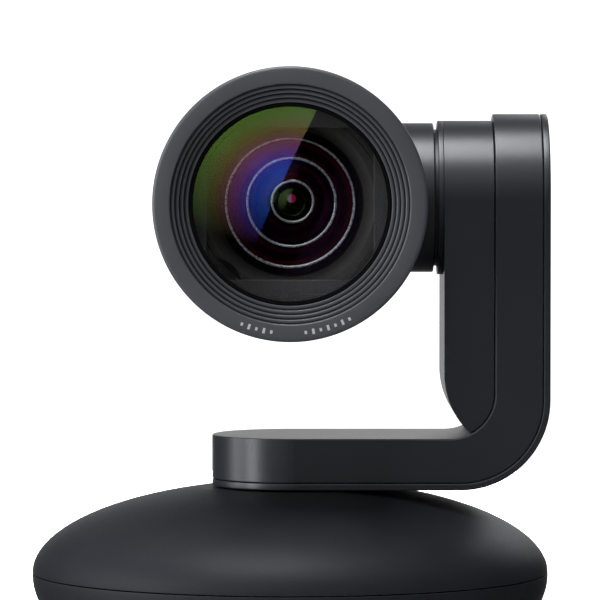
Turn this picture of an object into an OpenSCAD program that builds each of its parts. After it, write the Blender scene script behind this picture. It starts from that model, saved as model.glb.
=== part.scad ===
/* [Base] */
// Radius of the base at its widest circle
base_r = 65.5; // [64:0.5:80]
// Height of the widest circle above the table
rim_z = 18.2; // [16:0.1:22]
// Height of the flat crown of the dome
crown_z = 39.8; // [38:0.1:48]
// Radius of the flat crown of the dome
crown_r = 23.2; // [18:0.1:28]
// How far the skirt curves in below the widest circle
skirt_w = 15.5; // [12:0.5:18]
// Wall of both base shells
base_wall = 2.2; // [1.6:0.1:3]
// Thickness of the floor of the base
floor_t = 2.5; // [2:0.1:4]
// Height of the underside above the table
foot_h = 2; // [1.5:0.1:4]
// Width of the rubber foot ring
foot_ring_w = 4.5; // [3:0.5:6]

/* [Tripod socket] */
// Core radius of the quarter inch tripod thread
tripod_r = 2.6; // [2.5:0.05:3.2]
// Depth of the tripod thread
tripod_depth = 9; // [7:0.5:10]

/* [Rear ports] */
// Half width of the port tray
tray_half_w = 34; // [33:0.5:36]
// Height of the tray's lower edge
tray_z0 = 5.6; // [5:0.1:7]
// Height of the tray's upper edge
tray_z1 = 25.2; // [24:0.1:27]
// Depth of the port plate inside the base's widest circle
port_depth = 11.5; // [10:0.5:13]
// Height of the row of ports
port_z = 15.6; // [15:0.1:17]

/* [Pan drive] */
// Outer radius of the hollow pan spindle
spindle_r = 7; // [5.6:0.1:8.4]
// Bore radius of the pan spindle
spindle_bore_r = 4.5; // [3:0.1:4.8]
// Teeth on the spindle's pulley
pan_teeth = 60; // [50:1:66]
// Teeth on each motor's pulley
motor_teeth = 15; // [13:1:18]
// Tooth pitch of both belts
belt_pitch = 2; // [1.8:0.1:2.2]
// Distance between the pan axis and its motor
pan_motor_d = 31; // [30:0.5:33]
// Radius of the pan and tilt motors
motor_r = 10; // [8:0.5:11]

/* [Arm] */
// Gap between the dome's crown and the arm
pan_gap = 0.5; // [0.4:0.1:1.5]
// Thickness of the limb that lies over the base
limb_t = 12.9; // [11:0.1:16]
// Half the depth of the arm from front to back
arm_half_d = 20.8; // [20:0.1:25]
// Place of the limb's round end, left of the pan axis
limb_end_x = 19.8; // [19:0.1:22]
// Thickness of the upright part of the arm
arm_t = 13.8; // [13:0.1:18]
// Height of the arm's round top above the tilt axis
arm_top_rise = 21.2; // [20:0.1:26]
// Radius of the arm's outer corner
arm_corner_r = 22.5; // [20:0.5:26]
// Radius of the arm's inner corner
arm_fillet_r = 11.3; // [9:0.1:13]
// Wall of the arm shell
arm_wall = 2; // [1.6:0.1:2.6]
// Thickness of the cover that wraps the outside of the arm
skin_t = 1.7; // [1.4:0.1:2.2]

/* [Tilt housing] */
// Height of the tilt axis above the limb
tilt_rise = 60; // [60:0.5:80]
// Drop of the lens axis below the tilt axis
lens_drop = 0.9; // [0:0.1:1.5]
// Width of the housing
housing_w = 12.7; // [12.5:0.1:16]
// Room between the head and the housing, which the tilt drum crosses
drum_len = 8; // [8:0.1:12]
// Radius of the housing's round top and half its depth
housing_r = 19.5; // [18:0.1:20.5]
// Height above the limb where the housing's inner face starts to curve in
housing_bend_rise = 16.1; // [14:0.1:20]
// Radius of that curve
housing_bend_r = 20; // [17:0.5:24]
// Wall of the housing
housing_wall = 1.8; // [1.4:0.1:2.2]
// Teeth on the tilt shaft's pulley
tilt_teeth = 45; // [40:1:46]
// Distance between the tilt axis and its motor
tilt_motor_d = 28; // [27:0.5:30]

/* [Head] */
// Step from the bezel ring in to the head's shells
head_step = 2.8; // [1.5:0.1:4]
// Wall of the head's shells
head_wall = 2.2; // [1.6:0.1:2.4]
// Place of the bezel's front face, ahead of the tilt axis
bezel_y = 58; // [56:0.5:60]
// Depth of the bezel ring from front to back
bezel_depth = 12; // [10:0.5:13]
// Width of the bezel's flat face
bezel_face_w = 4.25; // [3:0.05:6]
// Width of all the steps inside the bezel
bezel_steps_w = 4.35; // [3:0.05:6]
// Number of steps inside the bezel
bezel_steps = 4; // [3:1:6]
// Depth of each step
bezel_step_h = 1.3; // [0.8:0.1:1.5]
// Place of the seam between the head's shells, behind the tilt axis
head_seam_y = 20; // [19.5:0.5:24]
// Place where the rear shell starts to round off
head_round_y = 30; // [27:0.5:33]
// Place of the back of the head
head_back_y = 50; // [48:0.5:53]
// Radius of the tilt drum
drum_r = 18.9; // [18:0.1:19.4]
// Radius of the tilt shaft
shaft_r = 6; // [5:0.1:7.2]
// Bore radius of the tilt shaft
shaft_bore_r = 3.5; // [2.5:0.1:3.8]

/* [Lens] */
// Radius of the window glass
window_r = 23.55; // [22:0.05:28.5]
// Width of the gasket round the window glass
gasket_w = 1.15; // [0.8:0.05:2]
// Thickness of the window glass
window_t = 2; // [1.5:0.1:2.5]
// Radius of the window's domed faces
window_bulge_r = 70; // [60:1:120]
// Width of the opening in the lens mask
mask_w = 40.4; // [38:0.1:42]
// Height of the opening in the lens mask
mask_h = 36.8; // [35:0.1:38]
// Radius of the rim around the front element
front_rim_r = 18; // [17:0.1:18.5]
// Radius of the zoom element
zoom_lens_r = 9; // [7:0.1:9.5]
// Radius of the focus element
focus_lens_r = 7; // [6:0.1:8]
// Travel of the zoom carriage
zoom_travel = 14; // [10:0.5:14]
// Travel of the focus carriage to each side of its rest place
focus_travel = 4; // [3:0.5:4]

/* [Fits] */
// Radial clearance of a shaft that turns in a bush
running_fit = 0.05; // [0.03:0.01:0.1]
// Gap at a seam between two covers
seam_gap = 0.12; // [0.08:0.01:0.3]
// Clearance between a belt and its pulleys
belt_gap = 0.25; // [0.2:0.05:0.4]
// Clearance between a fixed piece and one that moves past it
moving_gap = 0.4; // [0.3:0.1:0.8]
// Clearance around a piece set in a hole
seat_gap = 0.1; // [0.05:0.05:0.2]

/* [Hidden] */
$fn = 96;

// Far enough past a face for a clean cut
cut = 1;
// Longer than the whole object, for cuts that go right through
far = 200;
// Steps along each curved stretch of an outline
arc_steps = 20;
// Steps round each wheel that a belt wraps
wrap_steps = 48;

// Base
floor_z = foot_h + floor_t;
dome_rise = (crown_z - rim_z) / sqrt(1 - pow(crown_r / base_r, 2));
foot_edge_r = base_r - skirt_w;
foot_out_r = foot_edge_r - 1.5;
foot_in_r = foot_out_r - foot_ring_w;
base_screw_pcr = foot_in_r - 4;
port_y = base_r - port_depth;
skirt_h = rim_z - foot_h;
foot_groove = 0.5;
base_boss_r = 3.2;
base_screw_r = 1.35;
base_screw_head_r = 2.8;
base_screw_head_h = 1.6;
base_screw_len = 11;
tray_wall = 1.6;
tripod_bush_r = 5;
tripod_flange_r = 6.5;
tripod_flange_h = 1;
tripod_boss_r = 8.5;
tripod_boss_z = foot_h + tripod_depth + 2.5;
board_z = floor_z + 4;
board_t = 1.6;
board_r = foot_edge_r;
board_top = board_z + board_t;
board_post_r = 3;
board_post_pcr = board_r - 6;
bracket_leg_pcr = base_screw_pcr - 4;
bracket_leg_r = 2.5;
bracket_leg_angles = [90, 210, 330];
chip_x = 26;
chip_y = 4;
chip_w = 16;
chip_h = 1.4;
sink_w = 22;
sink_fins = 7;
sink_h = 8;
window_half_w = 9;
window_z0 = 8;
window_z1 = 14.5;
light_x = 14;
light_z = 11.5;
light_r = 1.2;

// Rear ports, from left to right as seen from behind
power_x = 26;
video_x = 12;
usb_x = -3.5;
control_x = -16;
lock_x = -27;
port_back_y = port_y - 13;
jack_r = 4.4;
jack_bore_r = 3.1;
jack_pin_r = 1;
jack_body_w = 9;
usb_w = 12;
usb_h = 10.8;
usb_bore_w = 8.4;
usb_bore_h = 7.6;
usb_tongue_w = 5.6;
usb_tongue_h = 3.2;
video_w = 15;
video_h = 6.4;
video_bore_w = 13.9;
video_bore_h = 4.6;
video_tongue_w = 11;
video_tongue_h = 1.3;
control_r = 5.2;
control_bore_r = 4.4;
control_core_r = 3.4;
control_pins = 8;
control_pin_pcr = 2.3;
control_pin_r = 0.4;
lock_w = 9;
lock_slot_w = 7;
lock_slot_h = 3;
socket_depth = 8;

// Pan drive
bracket_z = 21.5;
bracket_t = 2;
bracket_hub_r = 13;
bracket_arm_w = 8;
clip_t = 0.9;
clip_w = 2;
clip_groove = 0.8;
pulley_h = 5.2;
belt_w = 4.4;
belt_t = 1.2;
flange_lip = 1.9;
flange_t = 0.8;
notch_r = 0.5;
clip_z = bracket_z + bracket_t + moving_gap;
pan_pulley_z = clip_z + clip_t + seat_gap;
pan_pulley_r = pan_teeth * belt_pitch / (2 * PI);
motor_pulley_r = motor_teeth * belt_pitch / (2 * PI);
pan_motor_angle = 168;
pan_motor_h = 10;
motor_shaft_r = 1.5;
motor_shaft_len = 6;
motor_pilot_r = 4;
motor_tab_t = 0.8;
motor_tab_reach = 4;
bush_wall = 2;
bush_flange_r = spindle_r + bush_wall + 2.4;
bush_flange_h = 1.2;
bush_boss_r = spindle_r + bush_wall + 3;
bush_z0 = crown_z - base_wall - 4;
spindle_flange_r = spindle_r + 6;
spindle_flange_h = 2.5;
spindle_screws = 4;
spindle_screw_pcr = spindle_flange_r - 2.6;

// Sizes of the head that the arm is set round
bezel_bore_r = window_r + gasket_w;
bezel_flat_r = bezel_bore_r + bezel_steps_w;
bezel_r = bezel_flat_r + bezel_face_w;
head_r = bezel_r - head_step;

// Arm
arm_z0 = crown_z + pan_gap;
limb_top = arm_z0 + limb_t;
tilt_z = limb_top + tilt_rise;
lens_z = tilt_z - lens_drop;
housing_x = head_r + drum_len;
arm_in_x = housing_x + housing_w;
arm_x = arm_in_x + arm_t;
limb_c_x = arm_half_d - limb_end_x;
arm_top_c_z = tilt_z + arm_top_rise - arm_half_d;
spindle_flange_z = arm_z0 + skin_t + seat_gap;
arm_screw_r = 1.2;
arm_screw_head_r = 2.3;
arm_screw_head_h = 1.5;
ribbon_inset = 7;
ribbon_t = 0.4;
ribbon_w = 12;
ribbon_x0 = 7;
ribbon_z1 = 72;

// Tilt drive
housing_out_x = arm_in_x - 2 * seam_gap;
housing_bend_z = limb_top + housing_bend_rise;
drum_x = housing_x - 2.3;
collar_t = 1.3;
spigot_r = drum_r - 1.6;
tilt_pulley_r = tilt_teeth * belt_pitch / (2 * PI);
tilt_plate_t = 1.6;
bracket_x = arm_in_x - tilt_plate_t - moving_gap;
tilt_pulley_x = bracket_x - pulley_h - moving_gap - 0.4;
tilt_motor_h = 11;
tilt_bush_r = shaft_r + bush_wall;
tilt_bush_x0 = housing_x + 0.2;
tilt_bush_x1 = tilt_pulley_x - moving_gap;
shaft_x1 = arm_x - skin_t - 3.8;
window_cut_r = 15.5;
motor_window_r = motor_r + motor_tab_reach + 0.6;
bracket_foot_drop = 3.1;
bracket_foot_z = housing_bend_z - bracket_foot_drop;
bracket_foot_w = 4;
bracket_foot_y = 10.6;

// Head
head_in_r = head_r - head_wall;
ring_back_y = bezel_y - bezel_depth;
drum_wall = 2.2;
drum_end_t = 2.4;
cable_hole_r = 12;
lip_t = 1.6;
lip_len = 8;
head_screw_r = 1;
head_screw_head_r = 1.9;
head_screw_head_h = 1;
head_screw_len = 4;
step_count = bezel_steps;
step_w = (bezel_flat_r - bezel_bore_r) / step_count;
bezel_edge_r = 0.9;
gasket_z0 = 2.4;
gasket_z1 = 6.4;
window_z0_local = 3.4;

// Lens block, placed from front to back along the lens axis
mask_t = 1.2;
mask_corner_r = 4;
barrel_r = bezel_bore_r - 0.3;
barrel_in_r = barrel_r - 2;
barrel_front_y = ring_back_y - 0.9;
plate_front_y = 12;
plate_t = 2;
plate_hole_r = 14;
post_r = 1.8;
post_pcr = barrel_r - post_r - 0.4;
front_ring_len = 9;
front_lens_r = front_rim_r - 0.4;
front_lens_bulge_r = 30;
rod_r = 1.2;
rod_pcr = barrel_r - 6.4;
screw_r = 1.5;
screw_pcr = barrel_r - 5.4;
lens_motor_r = 4.6;
lens_motor_len = 9;
carriage_r = barrel_r - 11.4;
carriage_t = 5;
ear_r = 3;
// Clearance between a carriage at its limit and what it would meet
stop_gap = 1;
zoom_y = -plate_front_y + plate_t + stop_gap;
focus_y = zoom_y + carriage_t + zoom_travel + 2 * stop_gap + focus_travel;
plate_back_y = focus_y + carriage_t + focus_travel + lens_motor_len;
sensor_board_y = plate_back_y + plate_t + 0.8;
sensor_board_r = barrel_r - 2.4;
sensor_w = 8;
sensor_t = 1.4;

// Places the children on the lens axis at this y, with their z towards the front
module on_lens_axis(y)
{
    translate([0, y, lens_z]) rotate([90, 0, 0]) children();
}

// Places the children on the tilt axis at this x, with their z to the right and their x downwards
module on_tilt_axis(x)
{
    translate([x, 0, tilt_z]) rotate([0, 90, 0]) children();
}

// Repeats the children at equal steps round a circle
module round_circle(count, radius, first = 0)
{
    for (i = [0 : count - 1])
        rotate([0, 0, first + i * 360 / count]) translate([radius, 0, 0]) children();
}

// A flat ring
module ring(outer, inner, height)
{
    difference()
    {
        cylinder(r = outer, h = height);
        translate([0, 0, -cut]) cylinder(r = inner, h = height + 2 * cut);
    }
}

// A box between two corners
module box(low, high)
{
    translate(low) cube(high - low);
}

// The outline round two circles whose centres lie d apart along x, which a taut belt would follow
module belt_outline(r_big, r_small, d)
{
    lean = acos((r_big - r_small) / d);
    polygon(concat(
        wrap_points(0, r_big, lean, 360 - lean),
        wrap_points(d, r_small, -lean, lean)));
}

// Points round a circle centred at x = cx, from angle a to angle b
function wrap_points(cx, r, a, b) =
    [for (i = [0 : wrap_steps]) let(t = a + (b - a) * i / wrap_steps) [cx + r * cos(t), r * sin(t)]];

module belt(r_big, r_small, d)
{
    linear_extrude(height = belt_w) difference()
    {
        belt_outline(r_big + belt_gap + belt_t, r_small + belt_gap + belt_t, d);
        belt_outline(r_big + belt_gap, r_small + belt_gap, d);
    }
}

// A toothed wheel for a belt
module toothed_wheel(radius, teeth, height)
{
    difference()
    {
        cylinder(r = radius, h = height);
        round_circle(teeth, radius) translate([0, 0, -cut])
            cylinder(r = notch_r, h = height + 2 * cut, $fn = 16);
    }
}

// A motor's own wheel with a lip at each end and the shaft that turns in the motor
module motor_wheel()
{
    toothed_wheel(motor_pulley_r, motor_teeth, pulley_h);
    translate([0, 0, -flange_t]) cylinder(r = motor_pulley_r + flange_lip, h = flange_t);
    translate([0, 0, pulley_h]) cylinder(r = motor_pulley_r + flange_lip, h = flange_t);
    translate([0, 0, -flange_t - motor_shaft_len]) cylinder(r = motor_shaft_r, h = motor_shaft_len + cut);
}

// A can motor below z = 0, bored for its shaft, with two fixing tabs
module can_motor(height)
{
    difference()
    {
        union()
        {
            translate([0, 0, -height]) cylinder(r = motor_r, h = height);
            translate([0, 0, -motor_tab_t])
                box([-motor_r - motor_tab_reach, -3, 0], [motor_r + motor_tab_reach, 3, motor_tab_t]);
            translate([0, 0, -height + 2]) ring(motor_r + 0.4, motor_r - cut, 1.2);
        }
        translate([0, 0, -height + 2]) cylinder(r = motor_shaft_r + running_fit, h = height + cut);
        for (side = [-1, 1]) translate([side * (motor_r + 2.2), 0, -2]) cylinder(r = 1, h = 4);
    }
}

// Points along a quarter ellipse from angle a to angle b
function arc_points(cx, cy, rx, ry, a, b) =
    [for (i = [0 : arc_steps])
        let(t = a + (b - a) * i / arc_steps) [cx + rx * cos(t), cy + ry * sin(t)]];

// The outline of the whole base, made smaller by an inset, between the axis and its outer curve
module base_outline(inset)
{
    dome_end = asin((crown_z - inset - rim_z) / (dome_rise - inset));
    polygon(concat(
        arc_points(foot_edge_r, rim_z, skirt_w - inset, skirt_h - (inset > 0 ? floor_t : 0), -90, 0),
        arc_points(0, rim_z, base_r - inset, dome_rise - inset, 0, dome_end),
        [[0, crown_z - inset], [0, foot_h + (inset > 0 ? floor_t : 0)]]));
}

module base_solid(inset = 0)
{
    rotate_extrude() base_outline(inset);
}

// The hole through the back of the base that takes the port tray
module tray_block(grow)
{
    box([-tray_half_w - grow, port_y - 2.4 - grow, tray_z0 - grow],
        [tray_half_w + grow, far, tray_z1 + grow]);
}

module front_window_block(grow)
{
    box([-window_half_w - grow, -far, window_z0 - grow], [window_half_w + grow, 0, window_z1 + grow]);
}

module status_light_rod(grow)
{
    translate([light_x, -base_r / 2, light_z]) rotate([90, 0, 0])
        cylinder(r = light_r + grow, h = base_r);
}

module base_pan()
{
    color([0.16, 0.17, 0.19]) difference()
    {
        union()
        {
            difference()
            {
                base_solid();
                base_solid(base_wall);
                box([-far, -far, rim_z - seam_gap], [far, far, far]);
            }
            translate([0, 0, floor_z - cut])
                cylinder(r = tripod_boss_r, h = tripod_boss_z - floor_z + cut);
            round_circle(4, board_post_pcr, 0) translate([0, 0, floor_z - cut])
                cylinder(r = board_post_r, h = board_z - floor_z + cut);
        }
        translate([0, 0, foot_h - cut]) cylinder(r = tripod_bush_r, h = tripod_depth + cut);
        translate([0, 0, foot_h - cut]) cylinder(r = tripod_flange_r, h = tripod_flange_h + cut);
        translate([0, 0, foot_h - cut]) ring(foot_out_r, foot_in_r, foot_groove + cut);
        round_circle(4, base_screw_pcr, 45)
        {
            translate([0, 0, foot_h - cut])
                cylinder(r = base_screw_head_r + seat_gap, h = base_screw_head_h + cut);
            translate([0, 0, foot_h - cut])
                cylinder(r = base_screw_r + seat_gap, h = floor_t + 2 * cut);
        }
        tray_block(seam_gap);
        front_window_block(seat_gap);
        status_light_rod(seat_gap);
    }
}

module base_dome()
{
    boss_z = floor_z + seat_gap;
    color([0.16, 0.17, 0.19]) difference()
    {
        union()
        {
            difference()
            {
                base_solid();
                base_solid(base_wall);
                box([-far, -far, -cut], [far, far, rim_z + seam_gap]);
            }
            intersection()
            {
                base_solid();
                union()
                {
                    round_circle(4, base_screw_pcr, 45) translate([0, 0, boss_z])
                        cylinder(r = base_boss_r, h = crown_z);
                    translate([0, 0, bush_z0]) cylinder(r = bush_boss_r, h = crown_z - bush_z0);
                }
            }
        }
        round_circle(4, base_screw_pcr, 45) translate([0, 0, boss_z - cut])
            cylinder(r = base_screw_r, h = base_screw_len - floor_t + cut);
        translate([0, 0, bush_z0 - cut]) cylinder(r = spindle_r + bush_wall, h = far);
        tray_block(seam_gap);
    }
}

module foot_ring()
{
    color([0.08, 0.08, 0.08]) ring(foot_out_r, foot_in_r, foot_h + foot_groove);
}

module tripod_bush()
{
    color([0.72, 0.58, 0.3]) difference()
    {
        translate([0, 0, foot_h]) union()
        {
            cylinder(r = tripod_flange_r, h = tripod_flange_h);
            cylinder(r = tripod_bush_r, h = tripod_depth);
        }
        translate([0, 0, foot_h - cut]) cylinder(r = tripod_r, h = tripod_depth + 2 * cut);
    }
}

module base_screws()
{
    color([0.2, 0.2, 0.21]) round_circle(4, base_screw_pcr, 45) translate([0, 0, foot_h]) difference()
    {
        union()
        {
            cylinder(r = base_screw_head_r, h = base_screw_head_h);
            cylinder(r = base_screw_r, h = base_screw_len);
        }
        translate([0, 0, -cut]) cylinder(r = 1.5, h = cut + 1, $fn = 6);
    }
}

module port_panel()
{
    color([0.13, 0.13, 0.14]) difference()
    {
        intersection()
        {
            base_solid();
            tray_block(0);
        }
        box([-tray_half_w + tray_wall, port_y, tray_z0 + tray_wall],
            [tray_half_w - tray_wall, far, tray_z1 - tray_wall]);
        translate([power_x, 0, port_z]) rotate([-90, 0, 0])
            cylinder(r = jack_r + seat_gap, h = port_y + cut);
        translate([control_x, 0, port_z]) rotate([-90, 0, 0])
            cylinder(r = control_r + seat_gap, h = port_y + cut);
        port_hole(usb_x, usb_w + 2 * seat_gap, usb_h + 2 * seat_gap);
        port_hole(video_x, video_w + 2 * seat_gap, video_h + 2 * seat_gap);
        port_hole(lock_x, lock_w + 2 * seat_gap, lock_w + 2 * seat_gap);
    }
}

// A rectangular hole through the port plate
module port_hole(x, w, h)
{
    box([x - w / 2, 0, port_z - h / 2], [x + w / 2, port_y + cut, port_z + h / 2]);
}

// A block at a port between two depths
module port_block(x, w, h, y0, y1)
{
    box([x - w / 2, y0, port_z - h / 2], [x + w / 2, y1, port_z + h / 2]);
}

module power_jack()
{
    color([0.07, 0.07, 0.07])
    {
        difference()
        {
            union()
            {
                port_block(power_x, jack_body_w, jack_body_w, port_back_y, port_y - 2.6);
                translate([power_x, port_y - 3, port_z]) rotate([-90, 0, 0])
                    cylinder(r = jack_r, h = 3);
            }
            translate([power_x, port_y - socket_depth, port_z]) rotate([-90, 0, 0])
                cylinder(r = jack_bore_r, h = socket_depth + cut);
        }
        translate([power_x, port_y - socket_depth - cut, port_z]) rotate([-90, 0, 0])
            cylinder(r = jack_pin_r, h = socket_depth);
    }
}

module usb_socket()
{
    color([0.6, 0.62, 0.64])
    {
        difference()
        {
            port_block(usb_x, usb_w, usb_h, port_back_y, port_y);
            port_block(usb_x, usb_bore_w, usb_bore_h, port_y - socket_depth, port_y + cut);
        }
        port_block(usb_x, usb_tongue_w, usb_tongue_h, port_y - socket_depth - cut, port_y - 1);
    }
}

module video_socket()
{
    color([0.6, 0.62, 0.64])
    {
        difference()
        {
            port_block(video_x, video_w, video_h, port_back_y, port_y);
            port_block(video_x, video_bore_w, video_bore_h, port_y - socket_depth, port_y + cut);
        }
        port_block(video_x, video_tongue_w, video_tongue_h, port_y - socket_depth - cut, port_y - 1);
    }
}

module control_socket()
{
    color([0.1, 0.1, 0.11]) difference()
    {
        union()
        {
            port_block(control_x, 2 * control_r, 2 * control_r, port_back_y, port_y - 2.6);
            translate([control_x, port_y - 3, port_z]) rotate([-90, 0, 0]) cylinder(r = control_r, h = 3);
        }
        translate([control_x, port_y - socket_depth / 2, port_z]) rotate([-90, 0, 0])
            ring(control_bore_r, control_core_r, socket_depth);
        translate([control_x, port_y - socket_depth / 2, port_z]) rotate([-90, 0, 0])
            round_circle(control_pins, control_pin_pcr)
                cylinder(r = control_pin_r, h = socket_depth, $fn = 16);
    }
}

module lock_plate()
{
    color([0.5, 0.51, 0.53]) difference()
    {
        port_block(lock_x, lock_w, lock_w, port_y - 2.4, port_y);
        port_block(lock_x, lock_slot_w, lock_slot_h, port_y - 3, port_y + cut);
    }
}

module main_board()
{
    color([0.05, 0.25, 0.14])
    {
        difference()
        {
            translate([0, 0, board_z]) cylinder(r = board_r, h = board_t);
            box([-far, port_y - 2.4 - moving_gap, 0], [far, far, far]);
            translate([0, 0, board_z - cut])
                cylinder(r = tripod_boss_r + moving_gap, h = board_t + 2 * cut);
            round_circle(4, base_screw_pcr, 45) translate([0, 0, board_z - cut])
                cylinder(r = base_boss_r + moving_gap, h = board_t + 2 * cut);
            for (a = bracket_leg_angles) rotate([0, 0, a]) translate([bracket_leg_pcr, 0, board_z - cut])
                cylinder(r = bracket_leg_r + moving_gap, h = board_t + 2 * cut);
        }
        box([chip_x - chip_w / 2, chip_y - chip_w / 2, board_top - cut / 2],
            [chip_x + chip_w / 2, chip_y + chip_w / 2, board_top + chip_h]);
        box([-8, -44, board_top - cut / 2], [8, -36, board_top + 3]);
        for (x = [-14, 14]) translate([x, -24, board_top - cut / 2]) cylinder(r = 3, h = 6);
        box([-44, -8, board_top - cut / 2], [-42, 2, board_top + 4]);
    }
}

module heat_sink()
{
    sink_z = board_top + chip_h + seat_gap;
    fin_t = 1.2;
    color([0.45, 0.46, 0.48]) union()
    {
        box([chip_x - sink_w / 2, chip_y - sink_w / 2, sink_z],
            [chip_x + sink_w / 2, chip_y + sink_w / 2, sink_z + 2]);
        for (i = [0 : sink_fins - 1])
        {
            fin_x = chip_x - sink_w / 2 + i * (sink_w - fin_t) / (sink_fins - 1);
            box([fin_x, chip_y - sink_w / 2, sink_z + 1],
                [fin_x + fin_t, chip_y + sink_w / 2, sink_z + sink_h]);
        }
    }
}

module pan_bracket()
{
    color([0.55, 0.56, 0.58]) difference()
    {
        union()
        {
            translate([0, 0, bracket_z]) cylinder(r = bracket_hub_r, h = bracket_t);
            for (a = bracket_leg_angles) rotate([0, 0, a])
            {
                box([0, -bracket_arm_w / 2, bracket_z],
                    [bracket_leg_pcr, bracket_arm_w / 2, bracket_z + bracket_t]);
                translate([bracket_leg_pcr, 0, bracket_z]) cylinder(r = bracket_arm_w / 2, h = bracket_t);
                translate([bracket_leg_pcr, 0, floor_z])
                    cylinder(r = bracket_leg_r, h = bracket_z - floor_z + cut);
            }
            rotate([0, 0, pan_motor_angle])
            {
                box([0, -bracket_arm_w, bracket_z], [pan_motor_d, bracket_arm_w, bracket_z + bracket_t]);
                translate([pan_motor_d, 0, bracket_z]) cylinder(r = motor_r, h = bracket_t);
            }
        }
        translate([0, 0, bracket_z - cut]) cylinder(r = spindle_r + moving_gap, h = bracket_t + 2 * cut);
        rotate([0, 0, pan_motor_angle]) translate([pan_motor_d, 0, bracket_z - cut])
            cylinder(r = motor_pilot_r, h = bracket_t + 2 * cut);
    }
}

module pan_bush()
{
    color([0.62, 0.5, 0.28]) difference()
    {
        union()
        {
            translate([0, 0, bush_z0 - bush_flange_h]) cylinder(r = bush_flange_r, h = bush_flange_h);
            translate([0, 0, bush_z0 - cut])
                cylinder(r = spindle_r + bush_wall, h = crown_z - moving_gap - bush_z0 + cut);
        }
        translate([0, 0, bush_z0 - far / 2]) cylinder(r = spindle_r + running_fit, h = far);
    }
}

module pan_motor()
{
    color([0.5, 0.5, 0.52]) rotate([0, 0, pan_motor_angle]) translate([pan_motor_d, 0, bracket_z])
        rotate([0, 0, 90]) can_motor(pan_motor_h);
}

module pan_belt()
{
    belt_z = pan_pulley_z + (pulley_h - belt_w) / 2;
    color([0.06, 0.06, 0.06]) rotate([0, 0, pan_motor_angle]) translate([0, 0, belt_z])
        belt(pan_pulley_r, motor_pulley_r, pan_motor_d);
}

module pan_motor_pulley()
{
    color([0.75, 0.74, 0.7]) rotate([0, 0, pan_motor_angle])
        translate([pan_motor_d, 0, pan_pulley_z]) motor_wheel();
}

module ir_window()
{
    color([0.1, 0.02, 0.03]) intersection()
    {
        difference()
        {
            base_solid();
            base_solid(base_wall);
        }
        front_window_block(0);
    }
}

module status_light()
{
    color([0.75, 0.85, 0.95]) intersection()
    {
        difference()
        {
            base_solid();
            base_solid(base_wall + 1);
        }
        status_light_rod(0);
    }
}

// A tall block with its lower right corner rounded
module corner_block(x0, z0, x1, z1, r)
{
    translate([x0, z0]) square([x1 - r - x0, z1 - z0]);
    translate([x0, z0 + r]) square([x1 - x0, z1 - z0 - r]);
    translate([x1 - r, z0 + r]) circle(r = r);
}

// The front view of the arm inside its outer edges, its corner moved in by skin and its inner edges by wall
module arm_outline(skin, wall)
{
    difference()
    {
        corner_block(-far, arm_z0 + skin, arm_x - skin, far, arm_corner_r - skin);
        corner_block(-2 * far, limb_top - wall, arm_in_x + wall, 2 * far, arm_fillet_r + wall);
    }
}

// Bounds the arm's round left end and round top, moved in by an inset
module arm_ends(inset)
{
    half_d = arm_half_d - inset;
    intersection()
    {
        translate([0, 0, -far / 2]) linear_extrude(height = 2 * far) union()
        {
            translate([limb_c_x, 0]) circle(r = half_d);
            translate([limb_c_x, -half_d]) square([far, 2 * half_d]);
        }
        translate([-far / 2, 0, 0]) rotate([90, 0, 90]) linear_extrude(height = far) union()
        {
            translate([0, arm_top_c_z]) circle(r = half_d);
            translate([-half_d, 0]) square([2 * half_d, arm_top_c_z]);
        }
    }
}

// Extrudes a front view along y, over the whole depth
module through_depth()
{
    rotate([90, 0, 0]) linear_extrude(height = far, center = true) children();
}

module arm_shell()
{
    color([0.15, 0.16, 0.18]) difference()
    {
        intersection()
        {
            arm_ends(0);
            through_depth() arm_outline(skin_t + seam_gap, 0);
        }
        intersection()
        {
            arm_ends(arm_wall);
            through_depth() arm_outline(0, arm_wall);
        }
        on_tilt_axis(arm_in_x - cut) linear_extrude(height = arm_wall + 2 * cut)
            belt_outline(window_cut_r, motor_window_r, tilt_motor_d);
    }
}

module arm_cover()
{
    color([0.14, 0.15, 0.17]) difference()
    {
        intersection()
        {
            arm_ends(0);
            through_depth() difference()
            {
                arm_outline(0, 0);
                arm_outline(skin_t, 0);
            }
        }
        translate([0, 0, arm_z0 - cut]) cylinder(r = spindle_r + moving_gap, h = skin_t + 2 * cut);
        round_circle(spindle_screws, spindle_screw_pcr, 45) translate([0, 0, arm_z0 + 0.6])
            cylinder(r = arm_screw_r, h = skin_t);
    }
}

// The front view of the tilt housing, moved in by an inset
module housing_outline(inset)
{
    intersection()
    {
        corner_block(-far, limb_top + 2 * seam_gap + inset, housing_out_x, far,
            arm_fillet_r - 2 * seam_gap);
        union()
        {
            translate([housing_x + inset, housing_bend_z]) square([housing_out_x - housing_x, far]);
            translate([housing_x + housing_bend_r, housing_bend_z]) circle(r = housing_bend_r - inset);
        }
    }
}

module housing_side(inset)
{
    rotate([90, 0, 90]) linear_extrude(height = housing_out_x) union()
    {
        translate([0, tilt_z]) circle(r = housing_r - inset);
        translate([-housing_r + inset, 0]) square([2 * (housing_r - inset), tilt_z]);
    }
}

module tilt_housing()
{
    color([0.15, 0.16, 0.18]) difference()
    {
        union()
        {
            difference()
            {
                intersection()
                {
                    housing_side(0);
                    through_depth() housing_outline(0);
                }
                intersection()
                {
                    housing_side(housing_wall);
                    through_depth() housing_outline(housing_wall);
                }
            }
            on_tilt_axis(housing_x + cut / 2) cylinder(r = tilt_bush_r + 2, h = housing_wall + 1);
        }
        on_tilt_axis(housing_x - cut) cylinder(r = tilt_bush_r, h = housing_wall + 4);
    }
}

module tilt_collar()
{
    color([0.15, 0.16, 0.18]) on_tilt_axis(housing_x - collar_t)
        ring(housing_r, spigot_r + moving_gap, collar_t - 0.02);
}

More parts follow.
